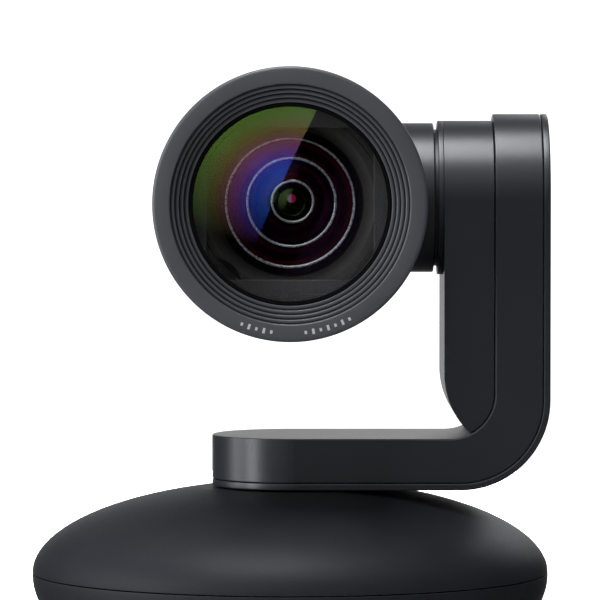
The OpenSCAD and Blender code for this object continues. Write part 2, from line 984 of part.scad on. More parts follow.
module pan_spindle()
{
    color([0.6, 0.61, 0.63]) difference()
    {
        union()
        {
            translate([0, 0, bracket_z + 0.5]) cylinder(r = spindle_r, h = spindle_flange_z - bracket_z);
            translate([0, 0, spindle_flange_z]) cylinder(r = spindle_flange_r, h = spindle_flange_h);
        }
        translate([0, 0, bracket_z - cut]) cylinder(r = spindle_bore_r, h = far);
        translate([0, 0, clip_z]) ring(spindle_r + cut, spindle_r - clip_groove, clip_t);
        round_circle(spindle_screws, spindle_screw_pcr, 45) translate([0, 0, spindle_flange_z - cut])
            cylinder(r = arm_screw_r + seat_gap, h = spindle_flange_h + 2 * cut);
    }
}

module pan_pulley()
{
    color([0.8, 0.79, 0.75]) translate([0, 0, pan_pulley_z]) difference()
    {
        toothed_wheel(pan_pulley_r, pan_teeth, pulley_h);
        translate([0, 0, -cut]) cylinder(r = spindle_r, h = pulley_h + 2 * cut);
        round_circle(6, (spindle_r + pan_pulley_r) / 2 + 0.4) translate([0, 0, -cut])
            cylinder(r = 3, h = pulley_h + 2 * cut);
    }
}

module spindle_clip()
{
    color([0.35, 0.35, 0.37]) translate([0, 0, clip_z]) difference()
    {
        ring(spindle_r + clip_w, spindle_r - clip_groove, clip_t - 0.05);
        box([0, -2, -cut], [far, 2, clip_t + cut]);
    }
}

module arm_screws()
{
    color([0.2, 0.2, 0.21]) round_circle(spindle_screws, spindle_screw_pcr, 45)
        translate([0, 0, spindle_flange_z + spindle_flange_h]) difference()
        {
            union()
            {
                cylinder(r = arm_screw_head_r, h = arm_screw_head_h);
                translate([0, 0, -spindle_flange_h - skin_t + 0.8])
                    cylinder(r = arm_screw_r, h = spindle_flange_h + skin_t);
            }
            translate([0, 0, arm_screw_head_h - 0.8]) cylinder(r = 1.1, h = 2, $fn = 6);
        }
}

module arm_ribbon()
{
    color([0.85, 0.83, 0.78]) intersection()
    {
        rotate([90, 0, 0]) linear_extrude(height = ribbon_w, center = true) difference()
        {
            corner_block(-far, arm_z0 + ribbon_inset, arm_x - ribbon_inset, far,
                arm_corner_r - ribbon_inset);
            corner_block(-2 * far, arm_z0 + ribbon_inset + ribbon_t, arm_x - ribbon_inset - ribbon_t,
                2 * far, arm_corner_r - ribbon_inset - ribbon_t);
        }
        box([ribbon_x0, -far, 0], [far, far, ribbon_z1]);
    }
}

module tilt_bracket()
{
    color([0.55, 0.56, 0.58]) difference()
    {
        union()
        {
            on_tilt_axis(bracket_x) linear_extrude(height = tilt_plate_t)
                belt_outline(window_cut_r - 1.2, motor_r, tilt_motor_d);
            for (side = [-1, 1])
                translate([bracket_x, side * bracket_foot_y - bracket_foot_w / 2, bracket_foot_z])
                    cube([tilt_plate_t, bracket_foot_w, tilt_z - tilt_motor_d - bracket_foot_z]);
        }
        on_tilt_axis(bracket_x - cut) cylinder(r = shaft_r + moving_gap, h = tilt_plate_t + 2 * cut);
        translate([bracket_x - cut, 0, tilt_z - tilt_motor_d]) rotate([0, 90, 0])
            cylinder(r = motor_pilot_r, h = tilt_plate_t + 2 * cut);
    }
}

module tilt_motor()
{
    color([0.5, 0.5, 0.52]) translate([bracket_x + tilt_plate_t, 0, tilt_z - tilt_motor_d])
        rotate([0, -90, 0]) rotate([0, 0, 90]) can_motor(tilt_motor_h);
}

module tilt_belt()
{
    color([0.06, 0.06, 0.06]) on_tilt_axis(tilt_pulley_x + (pulley_h - belt_w) / 2)
        belt(tilt_pulley_r, motor_pulley_r, tilt_motor_d);
}

module tilt_bush()
{
    color([0.62, 0.5, 0.28]) difference()
    {
        union()
        {
            on_tilt_axis(tilt_bush_x0) cylinder(r = tilt_bush_r, h = tilt_bush_x1 - tilt_bush_x0);
            on_tilt_axis(housing_x + housing_wall + 1.6)
                cylinder(r = tilt_bush_r + 1.6, h = tilt_bush_x1 - housing_x - housing_wall - 1.6);
        }
        on_tilt_axis(housing_x - cut) cylinder(r = shaft_r + running_fit, h = far);
    }
}

module tilt_motor_pulley()
{
    color([0.75, 0.74, 0.7]) translate([tilt_pulley_x + pulley_h, 0, tilt_z - tilt_motor_d])
        rotate([0, -90, 0]) motor_wheel();
}

module head_front_shell()
{
    color([0.16, 0.17, 0.19]) difference()
    {
        on_lens_axis(head_seam_y - seam_gap)
            ring(head_r, head_in_r, head_seam_y - seam_gap + ring_back_y - seam_gap);
        on_tilt_axis(0) cylinder(r = cable_hole_r, h = far);
        head_screw_places(0) translate([0, 0, -head_screw_head_h])
            cylinder(r = head_screw_head_r + seat_gap, h = far);
        head_screw_places(0) translate([0, 0, -head_wall - cut])
            cylinder(r = head_screw_r + seat_gap, h = far);
    }
}

// Places the children on the head's surface at each screw, with their z outwards
module head_screw_places(x)
{
    for (a = [45 : 90 : 315])
        translate([0, head_seam_y - lip_len / 2, lens_z]) rotate([0, a, 0])
            translate([0, 0, head_r]) children();
}

module head_rear_shell()
{
    lip_r = head_in_r - seat_gap;
    color([0.16, 0.17, 0.19]) difference()
    {
        translate([0, 0, lens_z]) rotate([-90, 0, 0]) rotate_extrude() polygon(concat(
            [[lip_r - lip_t, head_seam_y - lip_len], [lip_r, head_seam_y - lip_len],
                [lip_r, head_seam_y + seam_gap],
             [head_r, head_seam_y + seam_gap]],
            arc_points(0, head_round_y, head_r, head_back_y - head_round_y, 0, 90),
            [[0, head_back_y - head_wall]],
            arc_points(0, head_round_y, head_in_r, head_back_y - head_round_y - head_wall, 90, 0),
            [[head_in_r, head_seam_y + 2], [lip_r - lip_t, head_seam_y + 1]]));
        head_screw_places(0) translate([0, 0, -head_screw_len - cut])
            cylinder(r = head_screw_r, h = head_screw_len + cut);
    }
}

module head_screws()
{
    color([0.25, 0.25, 0.26]) head_screw_places(0) difference()
    {
        union()
        {
            translate([0, 0, -head_screw_head_h])
                cylinder(r = head_screw_head_r, h = head_screw_head_h - 0.15);
            translate([0, 0, -head_screw_len + 0.2]) cylinder(r = head_screw_r, h = head_screw_len - 0.5);
        }
        translate([0, 0, -0.7]) cylinder(r = 0.9, h = 2, $fn = 6);
    }
}

module tilt_drum()
{
    color([0.16, 0.17, 0.19]) difference()
    {
        union()
        {
            difference()
            {
                on_tilt_axis(head_r / 2) cylinder(r = drum_r, h = drum_x - head_r / 2);
                on_tilt_axis(0) cylinder(r = drum_r - drum_wall, h = drum_x - drum_end_t);
            }
            on_tilt_axis(drum_x - cut) cylinder(r = spigot_r, h = collar_t + cut + 0.5);
            on_tilt_axis(drum_x - drum_end_t - 4) cylinder(r = shaft_r + 3, h = 5);
        }
        on_lens_axis(far / 2) cylinder(r = head_r + 0.02, h = far);
        on_tilt_axis(0) cylinder(r = shaft_r, h = far);
    }
}

module tilt_shaft()
{
    color([0.6, 0.61, 0.63]) on_tilt_axis(drum_x - drum_end_t - 4)
        ring(shaft_r, shaft_bore_r, shaft_x1 - drum_x + drum_end_t + 4);
}

module tilt_pulley()
{
    color([0.8, 0.79, 0.75]) on_tilt_axis(tilt_pulley_x) difference()
    {
        toothed_wheel(tilt_pulley_r, tilt_teeth, pulley_h);
        translate([0, 0, -cut]) cylinder(r = shaft_r, h = pulley_h + 2 * cut);
    }
}

module bezel_ring()
{
    color([0.25, 0.26, 0.28]) on_lens_axis(-ring_back_y) rotate_extrude() polygon(concat(
        [[bezel_bore_r, 0], [bezel_r - 0.6, 0], [bezel_r, 0.6]],
        [for (a = [0 : 15 : 90])
            [bezel_r - bezel_edge_r * (1 - cos(a)), bezel_depth - bezel_edge_r * (1 - sin(a))]],
        [for (i = [0 : step_count - 1], k = [0, 1])
            [bezel_flat_r - i * step_w, bezel_depth - (i + k) * bezel_step_h]],
        [[bezel_bore_r, bezel_depth - step_count * bezel_step_h]]));
}

module window_gasket()
{
    color([0.03, 0.03, 0.03]) on_lens_axis(-ring_back_y) translate([0, 0, gasket_z0])
        ring(bezel_bore_r - 0.02, window_r + 0.02, gasket_z1 - gasket_z0);
}

// Points along a bulge of radius b from angle a0 to angle a1 off the axis, its rim at the given height
function bulge_points(b, rim_angle, a0, a1, height) =
    [for (i = [0 : arc_steps])
        let(a = a0 + (a1 - a0) * i / arc_steps) [b * sin(a), height + b * (cos(a) - cos(rim_angle))]];

// A round glass with a domed front, of radius r, edge thickness t and bulge radius b
module domed_glass(r, t, b, hollow)
{
    half = asin(r / b);
    rotate_extrude() polygon(concat(
        bulge_points(b, half, half, 0, t),
        hollow ? bulge_points(b, half, 0, half, 0) : [[0, 0], [r, 0]]));
}

module window_glass()
{
    color([0.5, 0.55, 0.6, 0.4]) on_lens_axis(-ring_back_y) translate([0, 0, window_z0_local])
        domed_glass(window_r, window_t, window_bulge_r, true);
}

module rounded_rectangle(w, h, r)
{
    square([w - 2 * r, h], center = true);
    square([w, h - 2 * r], center = true);
    for (x = [-1, 1], y = [-1, 1]) translate([x * (w / 2 - r), y * (h / 2 - r)]) circle(r = r);
}

module lens_mask()
{
    color([0.1, 0.1, 0.11]) on_lens_axis(-barrel_front_y) linear_extrude(height = mask_t) difference()
    {
        circle(r = bezel_bore_r - seat_gap);
        intersection()
        {
            rounded_rectangle(mask_w, mask_h, mask_corner_r);
            circle(r = bezel_bore_r - 1.2);
        }
    }
}

module lens_barrel()
{
    tube_len = plate_t + barrel_front_y - plate_front_y - seat_gap;
    color([0.09, 0.09, 0.1]) difference()
    {
        union()
        {
            on_lens_axis(-plate_front_y + plate_t) rotate_extrude() polygon([
                [plate_hole_r, 0], [barrel_r, 0], [barrel_r, tube_len], [barrel_in_r, tube_len],
                [barrel_in_r, plate_t], [plate_hole_r, plate_t]]);
            on_lens_axis(plate_back_y + plate_t) ring(barrel_r, focus_lens_r + 1, plate_t);
            on_lens_axis(plate_back_y + plate_t / 2) round_circle(4, post_pcr, 45)
                cylinder(r = post_r, h = plate_back_y + plate_front_y);
        }
        on_lens_axis(plate_back_y + 1) round_circle(2, rod_pcr, 0)
            cylinder(r = rod_r, h = plate_back_y + plate_front_y);
        for (y = [-plate_front_y, plate_back_y]) on_lens_axis(y + plate_t + cut)
            round_circle(2, screw_pcr, 90) cylinder(r = screw_r + running_fit, h = plate_t + 2 * cut);
    }
}

module front_ring()
{
    ring_y = barrel_front_y - 3;
    color([0.07, 0.07, 0.08]) on_lens_axis(-ring_y + front_ring_len) rotate_extrude() polygon([
        [front_rim_r - 0.6, 0], [barrel_in_r - seat_gap, 0], [barrel_in_r - seat_gap, front_ring_len],
        [front_rim_r + 2.5, front_ring_len], [front_rim_r, front_ring_len - 4], [front_rim_r, 3],
        [front_rim_r - 0.6, 3]]);
}

module front_element()
{
    glass_y = barrel_front_y - 3 - front_ring_len + 3;
    color([0.35, 0.4, 0.5, 0.5]) on_lens_axis(-glass_y + 2.6) translate([0, 0, 2.7])
        domed_glass(front_lens_r, 1.6, front_lens_bulge_r, false);
}

module guide_rods()
{
    color([0.7, 0.7, 0.72]) on_lens_axis(plate_back_y + 1) round_circle(2, rod_pcr, 0)
        cylinder(r = rod_r - 0.01, h = plate_back_y + plate_front_y);
}

// A small can motor whose shaft side faces the local z
module lens_motor()
{
    difference()
    {
        cylinder(r = lens_motor_r, h = lens_motor_len);
        translate([0, 0, 3]) cylinder(r = screw_r + running_fit, h = lens_motor_len);
    }
}

module zoom_motor()
{
    color([0.5, 0.5, 0.52]) on_lens_axis(plate_back_y - 0.1) translate([0, screw_pcr, 0]) lens_motor();
}

module focus_motor()
{
    color([0.5, 0.5, 0.52]) on_lens_axis(-plate_front_y + plate_t + 0.1) translate([0, -screw_pcr, 0])
        mirror([0, 0, 1]) lens_motor();
}

// A lead screw on the lens axis's y, plain at its ends and grooved between
module lead_screw(y_back, length)
{
    grooves = 16;
    groove_pitch = (length - 10) / grooves;
    on_lens_axis(y_back) difference()
    {
        cylinder(r = screw_r, h = length);
        for (i = [0 : grooves - 1]) translate([0, 0, 5 + i * groove_pitch])
            ring(screw_r + cut, screw_r - 0.3, groove_pitch / 2);
    }
}

module zoom_screw()
{
    color([0.66, 0.66, 0.68]) translate([0, 0, screw_pcr])
        lead_screw(plate_back_y - 6, plate_back_y - 6 + plate_front_y - 1);
}

module focus_screw()
{
    color([0.66, 0.66, 0.68]) translate([0, 0, -screw_pcr])
        lead_screw(plate_back_y + 1, plate_back_y + plate_front_y - 6);
}

// A ring that carries an element, with two ears on the rods and a nut at one side
module carriage(y_front, lens_r, nut_side)
{
    on_lens_axis(y_front + carriage_t) difference()
    {
        union()
        {
            cylinder(r = carriage_r, h = carriage_t);
            for (side = [-1, 1]) translate([side * rod_pcr, 0, 0]) cylinder(r = ear_r, h = carriage_t);
            translate([-rod_pcr, -2, 0]) cube([2 * rod_pcr, 4, carriage_t]);
            translate([0, nut_side * screw_pcr, 0]) cylinder(r = ear_r + 0.4, h = carriage_t);
            translate([-2.5, nut_side > 0 ? 0 : -screw_pcr, 0]) cube([5, screw_pcr, carriage_t]);
        }
        translate([0, 0, -cut]) cylinder(r = lens_r, h = carriage_t + 2 * cut);
        for (side = [-1, 1]) translate([side * rod_pcr, 0, -cut])
            cylinder(r = rod_r + running_fit, h = carriage_t + 2 * cut);
        translate([0, nut_side * screw_pcr, -cut])
            cylinder(r = screw_r + running_fit, h = carriage_t + 2 * cut);
    }
}

module zoom_carriage()
{
    color([0.1, 0.1, 0.11]) carriage(zoom_y, zoom_lens_r, 1);
}

module zoom_element()
{
    color([0.35, 0.4, 0.5, 0.5]) on_lens_axis(zoom_y + 3) domed_glass(zoom_lens_r - 0.02, 1.4, 26, false);
}

module focus_carriage()
{
    color([0.1, 0.1, 0.11]) carriage(focus_y, focus_lens_r, -1);
}

module focus_element()
{
    color([0.35, 0.4, 0.5, 0.5]) on_lens_axis(focus_y + 4) domed_glass(focus_lens_r - 0.02, 1.2, 18, false);
}

module sensor_board()
{
    color([0.05, 0.25, 0.14]) on_lens_axis(sensor_board_y + board_t) difference()
    {
        cylinder(r = sensor_board_r, h = board_t);
        translate([0, 0, -cut]) round_circle(4, sensor_board_r - 3, 45)
            cylinder(r = 1.2, h = board_t + 2 * cut);
    }
}

module image_sensor()
{
    color([0.12, 0.12, 0.2]) on_lens_axis(sensor_board_y - 0.02)
        translate([-sensor_w / 2, -sensor_w / 2, 0]) cube([sensor_w, sensor_w, sensor_t]);
}

base_pan();
base_dome();
foot_ring();
tripod_bush();
base_screws();
port_panel();
power_jack();
usb_socket();
video_socket();
control_socket();
lock_plate();
main_board();
heat_sink();
pan_bracket();
pan_bush();
pan_motor();
pan_belt();
ir_window();
status_light();
pan_motor_pulley();
arm_shell();
arm_cover();
tilt_housing();
tilt_collar();
pan_spindle();
pan_pulley();
spindle_clip();
tilt_bracket();
tilt_motor();
tilt_belt();
tilt_bush();
arm_screws();
arm_ribbon();
tilt_motor_pulley();
head_front_shell();
head_rear_shell();
head_screws();
tilt_drum();
tilt_shaft();
tilt_pulley();
bezel_ring();
window_gasket();
window_glass();
lens_mask();
lens_barrel();
front_ring();
front_element();
guide_rods();
zoom_motor();
focus_motor();
sensor_board();
image_sensor();
zoom_screw();
zoom_carriage();
zoom_element();
focus_screw();
focus_carriage();
focus_element();
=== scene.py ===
# %% [markdown]
# # A conference camera that pans, tilts and zooms
# The real object is a round lens head on a single L-shaped arm, which turns on a low domed base. The
# engineering model already fixes every size and every moving joint, so this lesson dresses it: it adds
# fine edges, finishes, the coated optics and a small studio. Everything stands where the engineering
# model puts it. Blender counts in metres; sections are drawn in millimetres, and MM turns them into
# metres.

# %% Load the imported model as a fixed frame
import math

import bmesh
import bpy
from mathutils import Matrix, Vector


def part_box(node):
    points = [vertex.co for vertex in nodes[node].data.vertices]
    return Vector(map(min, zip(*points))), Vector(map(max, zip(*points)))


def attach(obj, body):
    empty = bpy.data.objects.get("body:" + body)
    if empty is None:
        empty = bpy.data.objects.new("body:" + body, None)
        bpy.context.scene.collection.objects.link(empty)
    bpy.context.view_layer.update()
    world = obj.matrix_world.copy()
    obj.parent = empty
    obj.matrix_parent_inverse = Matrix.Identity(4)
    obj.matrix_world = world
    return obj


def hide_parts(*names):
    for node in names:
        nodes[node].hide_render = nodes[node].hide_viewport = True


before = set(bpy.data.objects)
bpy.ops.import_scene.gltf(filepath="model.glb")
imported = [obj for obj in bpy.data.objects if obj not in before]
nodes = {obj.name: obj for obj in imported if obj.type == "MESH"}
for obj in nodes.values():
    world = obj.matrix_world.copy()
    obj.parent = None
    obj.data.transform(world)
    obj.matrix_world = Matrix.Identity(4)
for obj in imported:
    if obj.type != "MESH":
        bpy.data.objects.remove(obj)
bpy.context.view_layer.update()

MM = 0.001
scene = bpy.context.scene

# %% [markdown]
# ## Where the important axes lie
# The lens axis runs through the middle of the bezel ring, so its height comes from that ring's box. The
# same box gives the front of the head, and the boxes of the window and the front element place the optics
# later on. The numbers could be typed in again, but read from the frame they follow the model when it
# changes.

# %% Find the lens axis and the front of the head
ring_low, ring_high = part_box("bezel_ring")
LENS_Z = (ring_low.z + ring_high.z) / 2
FRONT_Y = ring_low.y
RING_R = (ring_high.x - ring_low.x) / 2
print("lens axis height", round(LENS_Z / MM, 2), "mm, ring radius", round(RING_R / MM, 2), "mm")

# %% [markdown]
# ## The viewing camera
# A small product looks right through a long lens from far off, because round parts stay round and
# parallel edges stay parallel. A short lens close by would show the same size but swell the head. So a
# 272 mm lens stands 1.15 m away, a little above the lens axis, which lets the top of the lower arm show
# as a thin band.

# %% Place the viewing camera
VIEW_FROM = Vector((0, -1.150, 0.128))
VIEW_AT = Vector((0.0025, 0, 0.0872))
VIEW_LENS_MM = 272


def look(from_point, at_point, up=Vector((0, 0, 1))):
    """The matrix of a camera or lamp at one point that faces another."""
    back = (from_point - at_point).normalized()
    side = up.cross(back).normalized()
    turn = Matrix((side, back.cross(side), back)).transposed()
    return Matrix.Translation(from_point) @ turn.to_4x4()


def link(name, data):
    """A new object holding this data, linked to the scene."""
    made = bpy.data.objects.new(name, data)
    scene.collection.objects.link(made)
    return made


view_lens = bpy.data.cameras.new("viewing_camera")
view_lens.lens = VIEW_LENS_MM
scene.camera = link("viewing_camera", view_lens)
scene.camera.matrix_world = look(VIEW_FROM, VIEW_AT)
scene.view_settings.view_transform = "Standard"
print("camera stands", round((VIEW_FROM - VIEW_AT).length, 3), "m away")

# %% [markdown]
# ## A softbox that draws the coloured wedge in the window
# A curved window mirrors whatever stands in front of it, and the crisp slanted edge across such a lens is
# the straight side of a softbox. The box could be pushed about by hand until its edge falls right.
# Instead its place is worked out the way light travels: from the camera to two points on the glass,
# mirrored there, and on to the box. The box's long side is then laid through both ends, so only the two
# points on the glass are chosen.

# %% A softbox helper
LAMP_COLOUR = (0.95, 0.96, 1.0)


def softbox(name, middle, aim, size, brightness, along=Vector((0, 0, 1))):
    """A rectangular lamp whose height runs along the given direction; brightness is its radiance."""
    lamp = bpy.data.lights.new(name, "AREA")
    lamp.shape = "RECTANGLE"
    lamp.size, lamp.size_y = size
    lamp.energy = brightness * math.pi * size[0] * size[1]
    lamp.color = LAMP_COLOUR
    box = link(name, lamp)
    box.matrix_world = look(middle, aim, along)
    box.visible_camera = False
    return box


# %% Mirror the camera's rays off the window
WINDOW_BULGE = 70 * MM
GLASS_BEHIND = 3 * MM
lens_middle = Vector((0, FRONT_Y, LENS_Z))


def mirrored(x_mm, z_mm):
    """The window's point x and z millimetres off its axis, and where it sends a ray from the camera."""
    normal = Vector((x_mm * MM / WINDOW_BULGE, 0, z_mm * MM / WINDOW_BULGE))
    normal.y = -math.sqrt(1 - normal.length_squared)
    point = lens_middle + Vector((x_mm * MM, GLASS_BEHIND, z_mm * MM))
    ray = (point - VIEW_FROM).normalized()
    return point, ray - 2 * ray.dot(normal) * normal


# %% Lay the softbox along the mirrored edge
EDGE_TOP_MM, EDGE_FOOT_MM = (9.9, 23.9), (-6.2, -5.2)
WEDGE_REACH, WEDGE_SIZE, WEDGE_DOWN = 1.45, (1.15, 2.6), 0.25
high_point, high_ray = mirrored(*EDGE_TOP_MM)
low_point, low_ray = mirrored(*EDGE_FOOT_MM)
high_end = high_point + high_ray * WEDGE_REACH
low_end = low_point + low_ray * WEDGE_REACH
edge_run = (high_end - low_end).normalized()
edge_middle = (high_end + low_end) / 2
away = edge_run.cross(edge_middle - lens_middle).normalized()
if away.x > 0:
    away = -away
wedge_middle = edge_middle + away * WEDGE_SIZE[0] / 2 - edge_run * WEDGE_DOWN
wedge_box = softbox("wedge_softbox", wedge_middle, lens_middle, WEDGE_SIZE, 1.0, edge_run)
print("wedge light edge runs", [round(v, 2) for v in edge_run])

# %% [markdown]
# ## The rest of the studio light
# A large softbox hangs almost straight above, which gives the bright bands over the rounded tops. Two
# upright strips on the left draw the line on the round end of the lower arm and the thin bright lines
# along the edges that face them. Small lamps would be simpler, but satin plastic shows the outline of its
# light as a highlight, so every lamp here has the outline that its highlight needs.

# %% Overhead softbox, back fill and side strips
OVERHEAD_REACH, OVERHEAD_LEAN, OVERHEAD_UP = 1.15, -0.12, math.radians(80)
overhead_way = Vector((OVERHEAD_LEAN, -math.cos(OVERHEAD_UP), math.sin(OVERHEAD_UP)))
softbox("overhead_softbox", lens_middle + OVERHEAD_REACH * overhead_way, Vector((0, 0, LENS_Z)),
        size=(0.62, 0.76), brightness=15.9, along=Vector((0, 1, 0)))
softbox("back_fill", Vector((0.5, 1.2, 0.7)), Vector((0, 0, 0.08)), size=(0.7, 0.7), brightness=2.5)

STRIPS = {"end_strip": (61, 0.17, 18.0), "edge_strip": (88, 0.30, 6.0)}
STRIP_REACH, STRIP_HIGH, STRIP_LONG, STRIP_AIM = 1.2, 0.25, 1.1, Vector((0, 0, 0.10))
for name, (left_degrees, width, brightness) in STRIPS.items():
    turn = math.radians(left_degrees)
    strip = Vector((-STRIP_REACH * math.sin(turn), -STRIP_REACH * math.cos(turn), STRIP_HIGH))
    softbox(name, strip, STRIP_AIM, (width, STRIP_LONG), brightness)
print("studio lamps:", [lamp.name for lamp in bpy.data.lights])

# %% [markdown]
# ## A softbox that fades towards its foot, and the air around
# The coloured wedge is crisp along its slanted side but fades away at the bottom, as if the softbox were
# brighter at the top. Many small lamps in a row could do that, but a lamp can carry nodes like a material
# does: its own surface runs from 0 to 1 along its height, and that number sets its strength. The
# surroundings use the direction of each ray in the same way: white behind the object, dim in front, so
# the faces turned to the camera stay dark. A sharp mirror such as the window sees the front darker still,
# so that its dark side stays deep.

# %% Two helpers for node trees
def feed(tree, socket, value):
    """Sets a socket to a plain value, or links another socket to it."""
    if isinstance(value, bpy.types.NodeSocket):
        tree.links.new(value, socket)
    else:
        socket.default_value = value


def maths(tree, operation, *values, clamp=False):
    """A Math node on numbers and sockets; returns its output."""
    node = tree.nodes.new("ShaderNodeMath")
    node.operation, node.use_clamp = operation, clamp
    for socket, value in zip(node.inputs, values):
        feed(tree, socket, value)
    return node.outputs[0]


# %% Fade the wedge softbox
FADE_RISE, FADE_START = 2.8, -0.50
wedge_box.data.use_nodes = True
glow_tree = wedge_box.data.node_tree
along = glow_tree.nodes.new("ShaderNodeSeparateXYZ")
feed(glow_tree, along.inputs[0], glow_tree.nodes.new("ShaderNodeNewGeometry").outputs["Parametric"])
fade = maths(glow_tree, "MULTIPLY_ADD", along.outputs["Y"], FADE_RISE, FADE_START, clamp=True)
feed(glow_tree, glow_tree.nodes["Emission"].inputs["Strength"], fade)
print("wedge light is full from", round((1 - FADE_START) / FADE_RISE, 2), "of its height")

# %% Light the air
DIM_FRONT, PALE_BACK, BACK_CRISP, MIRROR_DIM = 0.075, 1.35, 12, 0.95
world = bpy.data.worlds.new("studio_surroundings")
scene.world = world
world.use_nodes = True
air = world.node_tree
ray = air.nodes.new("ShaderNodeLightPath").outputs
way = air.nodes.new("ShaderNodeSeparateXYZ")
air.links.new(air.nodes.new("ShaderNodeTexCoord").outputs["Generated"], way.inputs[0])
behind = maths(air, "MULTIPLY_ADD", way.outputs["Y"], BACK_CRISP, 1 - BACK_CRISP, clamp=True)
glow = maths(air, "MULTIPLY_ADD", behind, PALE_BACK - DIM_FRONT, DIM_FRONT)
mirror_share = maths(air, "MULTIPLY_ADD", ray["Is Singular Ray"], -MIRROR_DIM, 1)
glow = maths(air, "MULTIPLY", glow, mirror_share)
feed(air, air.nodes["Background"].inputs["Strength"], maths(air, "MAXIMUM", glow, ray["Is Camera Ray"]))
air.nodes["Background"].inputs["Color"].default_value = (1, 1, 1, 1)

# %% [markdown]
# ## Shared surface effects
# Moulded plastic is never one flat colour. Its tool leaves a fine grain, its tone drifts a little, its
# edges are made a shade lighter, as rubbed wear and, on the bezel steps, as a painted highlight, and dust
# settles on what faces up. These could be wired up again in every material, but then a change would be
# made twenty times. So each effect is a small node group with named inputs, built once, and every finish
# uses it with its own values. A group only gives colours, masks and heights; the shader itself stays in
# each material.

# %% A helper that starts a node group
SOCKETS = {"value": "NodeSocketFloat", "colour": "NodeSocketColor"}


def new_group(name, inputs, outputs):
    """An empty shader group; inputs map a label to its first value, outputs map a label to its kind."""
    group = bpy.data.node_groups.new(name, "ShaderNodeTree")
    for label, value in inputs.items():
        kind = SOCKETS["value" if isinstance(value, (int, float)) else "colour"]
        group.interface.new_socket(label, in_out="INPUT", socket_type=kind).default_value = value
    for label, kind in outputs.items():
        group.interface.new_socket(label, in_out="OUTPUT", socket_type=SOCKETS[kind])
    given = group.nodes.new("NodeGroupInput").outputs
    return group, given, group.nodes.new("NodeGroupOutput").inputs


# %% Helpers for noise and colours
def own_place(tree):
    """Each point's place on its own piece, which stays put when the piece moves."""
    return tree.nodes.new("ShaderNodeTexCoord").outputs["Object"]


def per_metre(tree, size_mm):
    """The texture scale for features of this size in millimetres."""
    return maths(tree, "DIVIDE", 1 / MM, size_mm)


def noise(tree, size_mm, detail=2.0, place=None):
    """Cloudy noise between 0 and 1 with features of this size in millimetres."""
    node = tree.nodes.new("ShaderNodeTexNoise")
    feed(tree, node.inputs["Vector"], place or own_place(tree))
    feed(tree, node.inputs["Scale"], per_metre(tree, size_mm))
    node.inputs["Detail"].default_value = detail
    return node.outputs["Fac"]


def blend_colours(tree, share, first, second):
    """A Mix node between two colours."""
    node = tree.nodes.new("ShaderNodeMix")
    node.data_type = "RGBA"
    feed(tree, node.inputs["Factor"], share)
    feed(tree, node.inputs[6], first)
    feed(tree, node.inputs[7], second)
    return node.outputs[2]


# %% The grain a moulding tool leaves
PEBBLE_SHARE = 0.6
moulded_grain, given, out = new_group("Moulded grain", {"Grain mm": 0.3}, {"Height": "value"})
pebbles = moulded_grain.nodes.new("ShaderNodeTexVoronoi")
pebbles.feature = "SMOOTH_F1"
feed(moulded_grain, pebbles.inputs["Vector"], own_place(moulded_grain))
feed(moulded_grain, pebbles.inputs["Scale"], per_metre(moulded_grain, given["Grain mm"]))
fine = noise(moulded_grain, given["Grain mm"], detail=3)
bumps = maths(moulded_grain, "MULTIPLY_ADD", pebbles.outputs["Distance"], -PEBBLE_SHARE, fine)
feed(moulded_grain, out["Height"], bumps)

# %% Slow drift of tone over a surface
tone_drift, given, out = new_group(
    "Tone drift", {"Color": (0.5, 0.5, 0.5, 1), "Amount": 0.1, "Patch mm": 20}, {"Color": "colour"})
cloud = maths(tone_drift, "SUBTRACT", noise(tone_drift, given["Patch mm"], detail=3), 0.5)
lift = maths(tone_drift, "MULTIPLY_ADD", cloud, given["Amount"], 1)
scaled = tone_drift.nodes.new("ShaderNodeVectorMath")
scaled.operation = "SCALE"
feed(tone_drift, scaled.inputs[0], given["Color"])
feed(tone_drift, scaled.inputs["Scale"], lift)
feed(tone_drift, out["Color"], scaled.outputs[0])

# %% Edges made lighter, as rubbed wear and as a painted highlight
EDGE_MASK_GAIN, PATCH_GAIN, PATCH_LEAST = 6, 1.4, 0.1
edge_wear_and_highlight, given, out = new_group("Edge wear and highlight", {"Width mm": 0.4, "Strength": 1}, {"Mask": "value"})
rounding = edge_wear_and_highlight.nodes.new("ShaderNodeBevel")
rounding.samples = 4
feed(edge_wear_and_highlight, rounding.inputs["Radius"], maths(edge_wear_and_highlight, "MULTIPLY", given["Width mm"], MM))
facing = edge_wear_and_highlight.nodes.new("ShaderNodeVectorMath")
facing.operation = "DOT_PRODUCT"
feed(edge_wear_and_highlight, facing.inputs[0], rounding.outputs[0])
feed(edge_wear_and_highlight, facing.inputs[1], edge_wear_and_highlight.nodes.new("ShaderNodeNewGeometry").outputs["Normal"])
bend = maths(edge_wear_and_highlight, "SUBTRACT", 1, facing.outputs["Value"])
patchy = maths(edge_wear_and_highlight, "MULTIPLY_ADD", noise(edge_wear_and_highlight, size_mm=3, detail=3), PATCH_GAIN, PATCH_LEAST)
worn_and_lit = maths(edge_wear_and_highlight, "MULTIPLY", maths(edge_wear_and_highlight, "MULTIPLY", bend, EDGE_MASK_GAIN), patchy)
feed(edge_wear_and_highlight, out["Mask"], maths(edge_wear_and_highlight, "MULTIPLY", worn_and_lit, given["Strength"], clamp=True))

